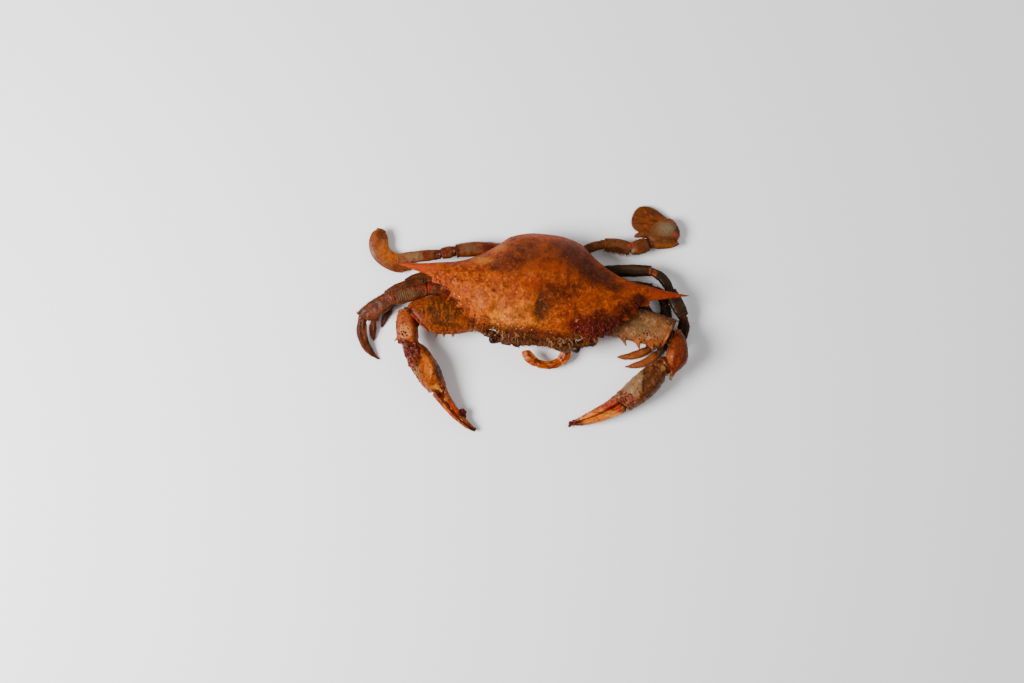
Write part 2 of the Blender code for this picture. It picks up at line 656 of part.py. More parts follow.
def shell_columns():
    """x of each column across one half, from the spine to the middle, with its tooth if it has one."""
    teeth = {x: (dx, dy) for x, dx, dy in TEETH}
    notches = [x for x, _ in FRONT_OUTLINE if x < SPINE_STATIONS[-1]]
    xs = sorted({*SPINE_STATIONS, *notches, *teeth}, reverse=True)
    return [(x, *teeth.get(x, (0.0, 0.0))) for x in xs]


def shell_section(x, tooth_x, tooth_y, sign):
    """Closed section of the shell at x: over the back from the rear edge, then under it again."""
    rear_y, front_y = interpolate(REAR_OUTLINE, x), interpolate(FRONT_OUTLINE, x)
    span = rear_y - front_y
    rear_z = REAR_EDGE_HEIGHT + (SPINE_HEIGHT - REAR_EDGE_HEIGHT) * ease(x, *REAR_EDGE_RISE)
    front_z = FRONT_EDGE_HEIGHT + (SPINE_HEIGHT - FRONT_EDGE_HEIGHT) * ease(x, *FRONT_EDGE_FALL)
    rounding = SPINE_ROUNDING * span * ease(x, *SPINE_ROUNDING_RISE)
    fade = max(0.0, 1 - (x / DOME_HALF_WIDTH) ** 2) ** DOME_POWER
    dome = (SHELL_TOP - DOME_FOOT) * fade + rounding
    floor_z = BELLY_TOP + PIECE_GAP + WING_LIFT * ease(x, *WING_LIFT_RISE)
    ring = []
    for v, share in DOME_PROFILE:
        pull = TOOTH_PULL.get(v, 0.0)
        y = rear_y - span * v + tooth_y * pull
        z = rear_z + (front_z - rear_z) * v + dome * share
        ring.append(Vector((sign * (x + tooth_x * pull), y, z)))
    for w, share in UNDERSIDE_PROFILE:
        edge_z = front_z + (rear_z - front_z) * w
        depth = min(edge_z - floor_z, DEEPEST_SHARE * span)
        ring.append(Vector((sign * x, front_y + span * w, edge_z - depth * share)))
    return ring


def build_shell(finishes):
    """The back shell: sections from spine to spine, with the teeth along its front edge."""
    columns = shell_columns()
    rings = [shell_section(*column, -1) for column in columns]
    rings += [shell_section(*column, 1) for column in reversed(columns[:-1])]
    for ring in (rings[0], rings[-1]):
        sign = math.copysign(1, ring[0].x)
        tip = Vector((sign * HALF_WIDTH, 0.0, SPINE_HEIGHT))
        for i, point in enumerate(ring):
            ring[i] = tip + (point - tip) * SPINE_TIP_SHARE
    bm = bmesh.new()
    skin_rings(bm, rings)
    add_object("carapace", bm, finishes["shell"])


def tail_flap_outline(grow):
    """The tail flap's whole outline seen from below: its half outline mirrored, each edge moved out."""
    whole = [Vector(p) for p in TAIL_FLAP] + [Vector((-x, y)) for x, y in reversed(TAIL_FLAP)]
    grown = []
    for i, corner in enumerate(whole):
        before = (corner - whole[i - 1]).normalized()
        after = (whole[(i + 1) % len(whole)] - corner).normalized()
        out = Vector((-before.y - after.y, before.x + after.x)).normalized()
        stretch = grow / max(0.5, out.dot(Vector((-before.y, before.x))))
        grown.append(tuple(corner + out * stretch))
    return grown


def extrude_outline(name, outline, low, high, material):
    bm = bmesh.new()
    face = bm.faces.new([bm.verts.new(Vector((x, y, low)) * MM) for x, y in outline])
    raised = bmesh.ops.extrude_face_region(bm, geom=[face])["geom"]
    lift = Vector((0, 0, (high - low) * MM))
    moved = [v for v in raised if isinstance(v, bmesh.types.BMVert)]
    bmesh.ops.translate(bm, vec=lift, verts=moved)
    return add_object(name, bm, material)


def build_belly(finishes):
    """The flat-bottomed belly, with a shallow pocket that holds the folded tail flap."""
    half_width, middle_y, half_length = BELLY_SIZE
    sides, power = BELLY_SECTION
    rings = []
    for height, share in BELLY_LEVELS:
        ring = []
        for i in range(sides):
            angle = 2 * math.pi * i / sides
            c, s = math.cos(angle), math.sin(angle)
            x = half_width * share * math.copysign(abs(c) ** (2 / power), c)
            y = half_length * share * math.copysign(abs(s) ** (2 / power), s)
            ring.append(Vector((x, middle_y + y, height)))
        rings.append(ring)
    bm = bmesh.new()
    skin_rings(bm, rings)
    belly = add_object("belly", bm, finishes["belly"])

    cutter_outline = tail_flap_outline(PIECE_GAP)
    cutter = extrude_outline(
        "flap_cutter", cutter_outline, -POCKET_CUT_DEPTH, POCKET_DEPTH, finishes["belly"]
    )
    cutter.hide_render = True
    cutter.display_type = "WIRE"
    pocket = belly.modifiers.new("Pocket", "BOOLEAN")
    pocket.operation = "DIFFERENCE"
    pocket.object = cutter
    extrude_outline(
        "tail_flap", tail_flap_outline(0.0), 0.0, POCKET_DEPTH - PIECE_GAP, finishes["belly"]
    )


def main():
    clear_scene()
    finishes = make_finishes()
    build_shell(finishes)
    build_belly(finishes)
    build_face(finishes)
    build_mouth_leg(finishes)
    build_limbs(finishes)
    build_plates(finishes)
    build_claws(finishes)


main()
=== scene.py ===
import math

import bpy
import numpy as np
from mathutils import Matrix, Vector


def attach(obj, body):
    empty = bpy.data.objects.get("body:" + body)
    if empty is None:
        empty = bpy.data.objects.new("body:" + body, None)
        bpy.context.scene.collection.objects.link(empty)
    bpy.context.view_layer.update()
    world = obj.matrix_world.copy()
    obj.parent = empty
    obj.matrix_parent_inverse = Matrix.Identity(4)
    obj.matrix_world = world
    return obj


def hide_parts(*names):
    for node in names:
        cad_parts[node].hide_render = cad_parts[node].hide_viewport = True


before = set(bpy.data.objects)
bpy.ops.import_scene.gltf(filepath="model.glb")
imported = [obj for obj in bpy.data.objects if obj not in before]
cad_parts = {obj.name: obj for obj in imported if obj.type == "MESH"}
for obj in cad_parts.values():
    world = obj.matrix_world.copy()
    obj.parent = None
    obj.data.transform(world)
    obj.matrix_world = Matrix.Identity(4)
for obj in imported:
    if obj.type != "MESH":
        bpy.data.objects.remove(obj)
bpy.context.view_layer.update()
mm = 0.001
up = np.array([0.0, 0.0, 1.0])


# number helpers

def curve(table, x):
    # smooth line through the table's points: a cubic between neighbours that never overshoots
    knots = np.array(sorted(table), dtype=float)
    k, y = knots[:, 0], knots[:, 1]
    step = np.diff(k)
    rise = np.diff(y) / step
    slope = np.concatenate([rise[:1], np.zeros(len(k) - 2), rise[-1:]])
    before, after = rise[:-1], rise[1:]
    same = before * after > 0
    slope[1:-1][same] = 2 * before[same] * after[same] / (before[same] + after[same])
    x = np.clip(x, k[0], k[-1])
    i = np.clip(np.searchsorted(k, x) - 1, 0, len(step) - 1)
    t = (x - k[i]) / step[i]
    low = (1 + 2 * t) * (1 - t) ** 2 * y[i] + t * (1 - t) ** 2 * step[i] * slope[i]
    return low + t * t * (3 - 2 * t) * y[i + 1] + t * t * (t - 1) * step[i] * slope[i + 1]


def straight(table, x):
    # straight lines between the table's points
    knots = np.array(sorted(table), dtype=float)
    return np.interp(x, knots[:, 0], knots[:, 1])


def ease(x, low, high):
    # smooth step: 3t^2 - 2t^3, with t running from 0 at low to 1 at high
    t = np.clip((x - low) / (high - low), 0, 1)
    return t * t * (3 - 2 * t)


def fade(x, low, high):
    # 1 at low, smoothly down to 0 at high
    return 1 - ease(x, low, high)


def crowd(shares, amount):
    # shares from 0 to 1, closer together at both ends: t - amount sin(2 pi t)
    return shares - amount * np.sin(2 * math.pi * shares)


def ringAngles(sides):
    return np.linspace(0, 2 * math.pi, sides, endpoint=False)


def superellipse(angle, power):
    # x and y of a ring of radius 1: cos and sin, each to the power 2 / power with its sign kept
    c, s = np.cos(angle), np.sin(angle)
    return np.sign(c) * np.abs(c) ** (2 / power), np.sign(s) * np.abs(s) ** (2 / power)


def bell(x, width):
    # 1 at x = 0, falling off as exp(-(x / width)^2)
    return np.exp(-(x / width) ** 2)


# fixed odd numbers that scramble a grid cell and a seed into a random value
noiseFacts = {"primes": (73856093, 19349663, 83492791, 7919), "mix": 1274126177, "seedShift": 7.31}


def lumps(points, size, seed):
    # value noise from -1 to 1: a fixed random number at each corner of cubes of this size,
    # blended across each cube with smooth steps
    primeX, primeY, primeZ, primeSeed = noiseFacts["primes"]
    p = points / size + seed * noiseFacts["seedShift"]
    cell = np.floor(p).astype(np.int64)
    f = p - cell
    f = f * f * (3 - 2 * f)
    total = np.zeros(p.shape[:-1])
    for corner in np.ndindex(2, 2, 2):
        c = cell + np.array(corner)
        h = (c[..., 0] * primeX) ^ (c[..., 1] * primeY) ^ (c[..., 2] * primeZ) ^ (seed * primeSeed)
        h = (h ^ (h >> 13)) * noiseFacts["mix"]
        value = ((h ^ (h >> 16)) & 65535) / 32767.5 - 1
        weight = np.prod(np.where(np.array(corner) == 1, f, 1 - f), axis=-1)
        total += value * weight
    return total


def roughness(points, size, seed, layers=3):
    # several sizes of lumps added up, each half the size and half the height of the one before
    return sum(lumps(points, size / 2 ** i, seed + i) / 2 ** i for i in range(layers))


def unit(vectors):
    return vectors / np.maximum(np.linalg.norm(vectors, axis=-1, keepdims=True), 1e-9)


# mesh helpers

def gridFaces(rows, columns, start=0):
    # quads between each row of points and the next; the last column joins the first
    r, c = np.meshgrid(np.arange(rows - 1), np.arange(columns), indexing="ij")
    a = r * columns + c
    b = r * columns + (c + 1) % columns
    return (np.stack([a, b, b + columns, a + columns], -1).reshape(-1, 4) + start).tolist()


def closedTube(points):
    # rows of closed rings, with the first and the last row closed by a fan to their middle
    rows, columns = points.shape[:2]
    verts = np.concatenate([points.reshape(-1, 3), [points[0].mean(0)], [points[-1].mean(0)]])
    count = rows * columns
    faces = gridFaces(rows, columns)
    faces += [[(k + 1) % columns, k, count] for k in range(columns)]
    last = count - columns
    faces += [[last + k, last + (k + 1) % columns, count + 1] for k in range(columns)]
    return verts, faces


def joined(shapes):
    # several (points, faces) shapes as one
    verts, faces, start = [], [], 0
    for points, polygons in shapes:
        verts.append(points)
        faces += [[k + start for k in polygon] for polygon in polygons]
        start += len(points)
    return np.concatenate(verts), faces


def outward(verts, faces):
    # turns all faces round when the enclosed volume, the sum of a . (b x c) / 6, is negative
    fans = np.array([[f[0], f[k], f[k + 1]] for f in faces for k in range(1, len(f) - 1)])
    a, b, c = verts[fans[:, 0]], verts[fans[:, 1]], verts[fans[:, 2]]
    if np.einsum("ij,ij->i", a, np.cross(b, c)).sum() < 0:
        return [f[::-1] for f in faces]
    return faces


def addPiece(name, shape, finish, nodes=()):
    # the shape's points, with none of them below the table
    verts, faces = shape
    verts = np.concatenate([verts[:, :2], np.maximum(verts[:, 2:], 0.0)], axis=1)
    mesh = bpy.data.meshes.new(name)
    mesh.from_pydata((verts * mm).tolist(), [], outward(verts, faces))
    mesh.shade_smooth()
    mesh.materials.append(finishes[finish])
    piece = bpy.data.objects.new(name, mesh)
    bpy.context.scene.collection.objects.link(piece)
    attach(piece, "root")
    if nodes:
        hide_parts(*nodes)
    return piece


# camera, floor and light

# the camera's turn, tilt, distance and target, the floor, the window and the soft light from the other
# side, and how colours are deepened
view = {
    "azimuth": 6.4655, "elevation": 84.0, "distance": 821.73, "target": (-13.03, -34.39, 0.0),
    "lens": 50.0, "sensor": 36.0,
    "floorSize": 6000.0, "floorColour": (243, 245, 251),
    "windowPlace": (-620.0, -230.0, 620.0), "windowSize": 480.0, "windowPower": 20.3,
    "fillPlace": (520.0, 300.0, 700.0), "fillSize": 900.0, "fillPower": 2.6,
    "clip": 0.01, "floorRoughness": 0.75, "skyStrength": 0.36,
    "paintShare": 0.7, "paintPower": (1.5, 1.41, 1.62),
    "lightColour": (1.0, 0.965, 0.92),
}


def srgb(colour):
    # display value to light: (c / 255 + 0.055) / 1.055 to the power 2.4, or c / 255 / 12.92 when dark
    c = np.array(colour, dtype=float) / 255
    light = np.where(c <= 0.04045, c / 12.92, ((c + 0.055) / 1.055) ** 2.4)
    return (*[float(v) for v in light], 1.0)


def paint(colour):
    # the light value of a colour as seen, each channel deepened by its own power and dimmed,
    # because the soft light and the display's tone curve wash it out
    light = srgb(colour)[:3]
    return (*[view["paintShare"] * v ** power for v, power in zip(light, view["paintPower"])], 1.0)


def setCamera():
    a, e = math.radians(view["azimuth"]), math.radians(view["elevation"])
    back = Vector((math.sin(a) * math.cos(e), -math.cos(a) * math.cos(e), math.sin(e)))
    data = bpy.data.cameras.new("photo_camera")
    data.lens, data.sensor_width, data.clip_start = view["lens"], view["sensor"], view["clip"]
    camera = bpy.data.objects.new("photo_camera", data)
    bpy.context.scene.collection.objects.link(camera)
    camera.location = (Vector(view["target"]) + back * view["distance"]) * mm
    camera.rotation_euler = back.to_track_quat("Z", "Y").to_euler()
    bpy.context.scene.camera = camera


def addLight(name, place, size, power):
    data = bpy.data.lights.new(name, "AREA")
    data.shape, data.size, data.energy, data.color = "DISK", size * mm, power, view["lightColour"]
    lamp = bpy.data.objects.new(name, data)
    bpy.context.scene.collection.objects.link(lamp)
    lamp.location = Vector(place) * mm
    aim = Vector(view["target"]) - Vector(place)
    lamp.rotation_euler = aim.to_track_quat("-Z", "Y").to_euler()


def setStage():
    half = view["floorSize"] / 2 * mm
    mesh = bpy.data.meshes.new("floor")
    corners = [(-half, -half, 0), (half, -half, 0), (half, half, 0), (-half, half, 0)]
    mesh.from_pydata(corners, [], [(0, 1, 2, 3)])
    floorFinish = bpy.data.materials.new("floor_finish")
    floorFinish.use_nodes = True
    shader = floorFinish.node_tree.nodes["Principled BSDF"]
    shader.inputs["Base Color"].default_value = srgb(view["floorColour"])
    shader.inputs["Roughness"].default_value = view["floorRoughness"]
    mesh.materials.append(floorFinish)
    floor = bpy.data.objects.new("floor", mesh)
    bpy.context.scene.collection.objects.link(floor)
    addLight("window_light", view["windowPlace"], view["windowSize"], view["windowPower"])
    addLight("fill_light", view["fillPlace"], view["fillSize"], view["fillPower"])
    world = bpy.data.worlds.new("studio")
    world.use_nodes = True
    world.node_tree.nodes["Background"].inputs["Color"].default_value = (*view["lightColour"], 1.0)
    world.node_tree.nodes["Background"].inputs["Strength"].default_value = view["skyStrength"]
    bpy.context.scene.world = world


setCamera()
setStage()
print("camera, floor and light are set")


# shared effects, as node groups

def newGroup(name, inputs, output):
    group = bpy.data.node_groups.new(name, "ShaderNodeTree")
    for label, kind, value in inputs:
        socket = group.interface.new_socket(label, in_out="INPUT", socket_type="NodeSocket" + kind)
        socket.default_value = value
    group.interface.new_socket(output, in_out="OUTPUT", socket_type="NodeSocketFloat")
    return group, group.nodes.new("NodeGroupInput").outputs, group.nodes.new("NodeGroupOutput").inputs[0]


def addNode(tree, kind, links=None, **settings):
    # a node of this kind, its settings, and what feeds its inputs: a socket or a plain value
    node = tree.nodes.new(kind)
    for key, value in settings.items():
        setattr(node, key, value)
    for key, value in (links or {}).items():
        if isinstance(value, bpy.types.NodeSocket):
            tree.links.new(value, node.inputs[key])
        else:
            node.inputs[key].default_value = value
    return node


def mathNode(tree, operation, first, second=0.0):
    return addNode(tree, "ShaderNodeMath", {0: first, 1: second}, operation=operation).outputs[0]


def vectorNode(tree, operation, first, second):
    return addNode(tree, "ShaderNodeVectorMath", {0: first, 1: second}, operation=operation).outputs[0]


def rampNode(tree, value, low, high):
    # smooth step from 0 at low to 1 at high
    links = {"Value": value, "From Min": low, "From Max": high}
    return addNode(tree, "ShaderNodeMapRange", links, interpolation_type="SMOOTHSTEP").outputs[0]


def cloudGroup():
    # soft cloudy patches of one size, cut to a mask between low and high
    tree, put, out = newGroup("Cloudy patches", [
        ("Place", "Vector", (0, 0, 0)), ("Stretch", "Vector", (1, 1, 1)), ("Size", "Float", 5.0),
        ("Low", "Float", 0.45), ("High", "Float", 0.65), ("Seed", "Float", 0.0)], "Mask")
    drawn = vectorNode(tree, "MULTIPLY", put["Place"], put["Stretch"])
    rate = mathNode(tree, "DIVIDE", 1.0, put["Size"])
    inputs = {"Vector": drawn, "W": put["Seed"], "Scale": rate, "Detail": 4.0, "Roughness": 0.6}
    noise = addNode(tree, "ShaderNodeTexNoise", inputs, noise_dimensions="4D")
    tree.links.new(rampNode(tree, noise.outputs["Fac"], put["Low"], put["High"]), out)
    return tree


def spotGroup():
    # one soft-edged ellipsoid round a centre; the edge runs from 1 inwards over the softness
    tree, put, out = newGroup("Soft spot", [
        ("Place", "Vector", (0, 0, 0)), ("Centre", "Vector", (0, 0, 0)), ("Radii", "Vector", (1, 1, 1)),
        ("Softness", "Float", 0.5)], "Mask")
    apart = vectorNode(tree, "SUBTRACT", put["Place"], put["Centre"])
    shares = vectorNode(tree, "DIVIDE", apart, put["Radii"])
    length = addNode(tree, "ShaderNodeVectorMath", {0: shares}, operation="LENGTH").outputs["Value"]
    inner = mathNode(tree, "SUBTRACT", 1.0, put["Softness"])
    tree.links.new(rampNode(tree, length, 1.0, inner), out)
    return tree


def speckGroup():
    # scattered round specks: cells whose random value is under the share, filled near their middle
    tree, put, out = newGroup("Specks", [
        ("Place", "Vector", (0, 0, 0)), ("Size", "Float", 2.0), ("Share", "Float", 0.2),
        ("Reach", "Float", 0.3)], "Mask")
    rate = mathNode(tree, "DIVIDE", 1.0, put["Size"])
    cells = addNode(tree, "ShaderNodeTexVoronoi", {"Vector": put["Place"], "Scale": rate})
    split = addNode(tree, "ShaderNodeSeparateColor", {"Color": cells.outputs["Color"]})
    chosen = mathNode(tree, "LESS_THAN", split.outputs[0], put["Share"])
    inner = mathNode(tree, "MULTIPLY", put["Reach"], 0.4)
    disc = rampNode(tree, cells.outputs["Distance"], put["Reach"], inner)
    tree.links.new(mathNode(tree, "MULTIPLY", chosen, disc), out)
    return tree


def reliefGroup():
    # height of the shell's skin: fine grains, coarser lumps and small pits
    tree, put, out = newGroup("Shell relief", [
        ("Place", "Vector", (0, 0, 0)), ("Grain Size", "Float", 0.5), ("Grain", "Float", 0.3),
        ("Lump Size", "Float", 2.5), ("Lump", "Float", 0.6)], "Height")
    grainRate = mathNode(tree, "DIVIDE", 1.0, put["Grain Size"])
    lumpRate = mathNode(tree, "DIVIDE", 1.0, put["Lump Size"])
    grain = addNode(tree, "ShaderNodeTexVoronoi", {"Vector": put["Place"], "Scale": grainRate})
    lump = addNode(tree, "ShaderNodeTexNoise", {"Vector": put["Place"], "Scale": lumpRate, "Detail": 5.0})
    dome = mathNode(tree, "SUBTRACT", 0.6, grain.outputs["Distance"])
    dots = mathNode(tree, "MULTIPLY", dome, put["Grain"])
    swell = mathNode(tree, "MULTIPLY", lump.outputs["Fac"], put["Lump"])
    tree.links.new(mathNode(tree, "ADD", dots, swell), out)
    return tree


groups = {"cloud": cloudGroup(), "spot": spotGroup(), "speck": speckGroup(), "relief": reliefGroup()}


def placeGroup(tree, kind, values):
    return addNode(tree, "ShaderNodeGroup", values, node_tree=groups[kind]).outputs[0]


def mixColour(tree, mask, first, second):
    # the first colour where the mask is 0, the second where it is 1
    return addNode(tree, "ShaderNodeMix", {0: mask, 6: first, 7: second}, data_type="RGBA").outputs[2]


def cloud(size, low, high, colour, strength=1.0, stretch=(1, 1, 1), seed=0.0):
    values = {"Size": size, "Low": low, "High": high, "Stretch": stretch, "Seed": seed}
    return ("cloud", values, colour, strength)


def spot(centre, radii, colour, strength=1.0, softness=0.6):
    return ("spot", {"Centre": centre, "Radii": radii, "Softness": softness}, colour, strength)


def specks(size, share, reach, colour, strength=1.0):
    return ("speck", {"Size": size, "Share": share, "Reach": reach}, colour, strength)


# what a look has unless it says otherwise: how far its spots are warped, roughness where glossy and
# dull, relief (grain size, grain, lump size, lump) and its depth, coat, shine, and glinting wet pools
# (centre, radii, coat)
plainLook = {
    "ragged": 9.0, "gloss": (0.3, 0.55), "relief": (0.7, 0.25, 2.2, 0.5), "depth": 0.25, "coat": 0.04,
    "shine": 0.14, "wet": [],
}
# what all looks share: the noise that warps spots, patches of sheen, the wet pools' glints and ripples
finishFacts = {
    "drift": {"Scale": 0.22, "Detail": 3.0, "Roughness": 0.65},
    "sheen": {"Size": 3.0, "Low": 0.3, "High": 0.7, "Seed": 5.0},
    "glint": {"Size": 1.0, "Low": 0.53, "High": 0.62, "Seed": 21.0},
    "ripple": {"Grain Size": 1.3, "Grain": 0.8, "Lump Size": 1.6, "Lump": 1.2},
    "poolSoftness": 0.9, "rippleDepth": 0.4, "bumpStrength": 0.8, "coatRoughness": 0.12,
}


def makeFinish(name, look):
    # the base colour, with each layer of the look laid over it by its mask; then gloss, bump and coat
    facts, look = finishFacts, {**plainLook, **look}
    material = bpy.data.materials.new(name)
    material.use_nodes = True
    tree = material.node_tree
    shader = tree.nodes["Principled BSDF"]
    where = addNode(tree, "ShaderNodeTexCoord").outputs["Object"]
    place = vectorNode(tree, "MULTIPLY", where, (1 / mm,) * 3)
    drift = addNode(tree, "ShaderNodeTexNoise", {"Vector": place, **facts["drift"]})
    centred = vectorNode(tree, "SUBTRACT", drift.outputs["Color"], (0.5, 0.5, 0.5))
    warped = vectorNode(tree, "ADD", place, vectorNode(tree, "MULTIPLY", centred, (look["ragged"],) * 3))
    colour = paint(look["base"])
    for kind, values, tint, strength in look["layers"]:
        inputs = dict(values, Place=warped if kind == "spot" else place)
        mask = mathNode(tree, "MULTIPLY", placeGroup(tree, kind, inputs), strength)
        colour = mixColour(tree, mask, colour, paint(tint))
    tree.links.new(colour, shader.inputs["Base Color"])
    glossy, dull = look["gloss"]
    sheen = placeGroup(tree, "cloud", {"Place": place, **facts["sheen"]})
    gloss = addNode(tree, "ShaderNodeMapRange", {"Value": sheen, "To Min": glossy, "To Max": dull})
    tree.links.new(gloss.outputs[0], shader.inputs["Roughness"])
    relief = dict(zip(("Grain Size", "Grain", "Lump Size", "Lump"), look["relief"]))

    def bumpFrom(heights, depth):
        height = placeGroup(tree, "relief", {"Place": place, **heights})
        inputs = {"Height": height, "Distance": depth * mm, "Strength": facts["bumpStrength"]}
        return addNode(tree, "ShaderNodeBump", inputs).outputs["Normal"]

    tree.links.new(bumpFrom(relief, look["depth"]), shader.inputs["Normal"])
    shader.inputs["Coat Weight"].default_value = look["coat"]
    if look["wet"]:
        glint = placeGroup(tree, "cloud", {"Place": place, **facts["glint"]})
        wetness = look["coat"]
        for centre, radii, strength in look["wet"]:
            pool = {"Place": warped, "Centre": centre, "Radii": radii, "Softness": facts["poolSoftness"]}
            weight = mathNode(tree, "MULTIPLY", placeGroup(tree, "spot", pool), strength)
            wetness = mathNode(tree, "MAXIMUM", weight, wetness)
        tree.links.new(mathNode(tree, "MULTIPLY", wetness, glint), shader.inputs["Coat Weight"])
        tree.links.new(bumpFrom(facts["ripple"], facts["rippleDepth"]), shader.inputs["Coat Normal"])
    shader.inputs["Coat Roughness"].default_value = facts["coatRoughness"]
    shader.inputs["Specular IOR Level"].default_value = look["shine"]
    return material


# middles of the small dark mottles on the back's rear half
rearMottles = [
    (-25, 3), (-17, 8), (-21, 10), (-9, 17), (-13, 13), (-4, 11), (5, 19), (13, 15), (19, 9), (16, 18),
    (26, 7), (31, 2), (36, 4), (40, -1), (24, 12),
]

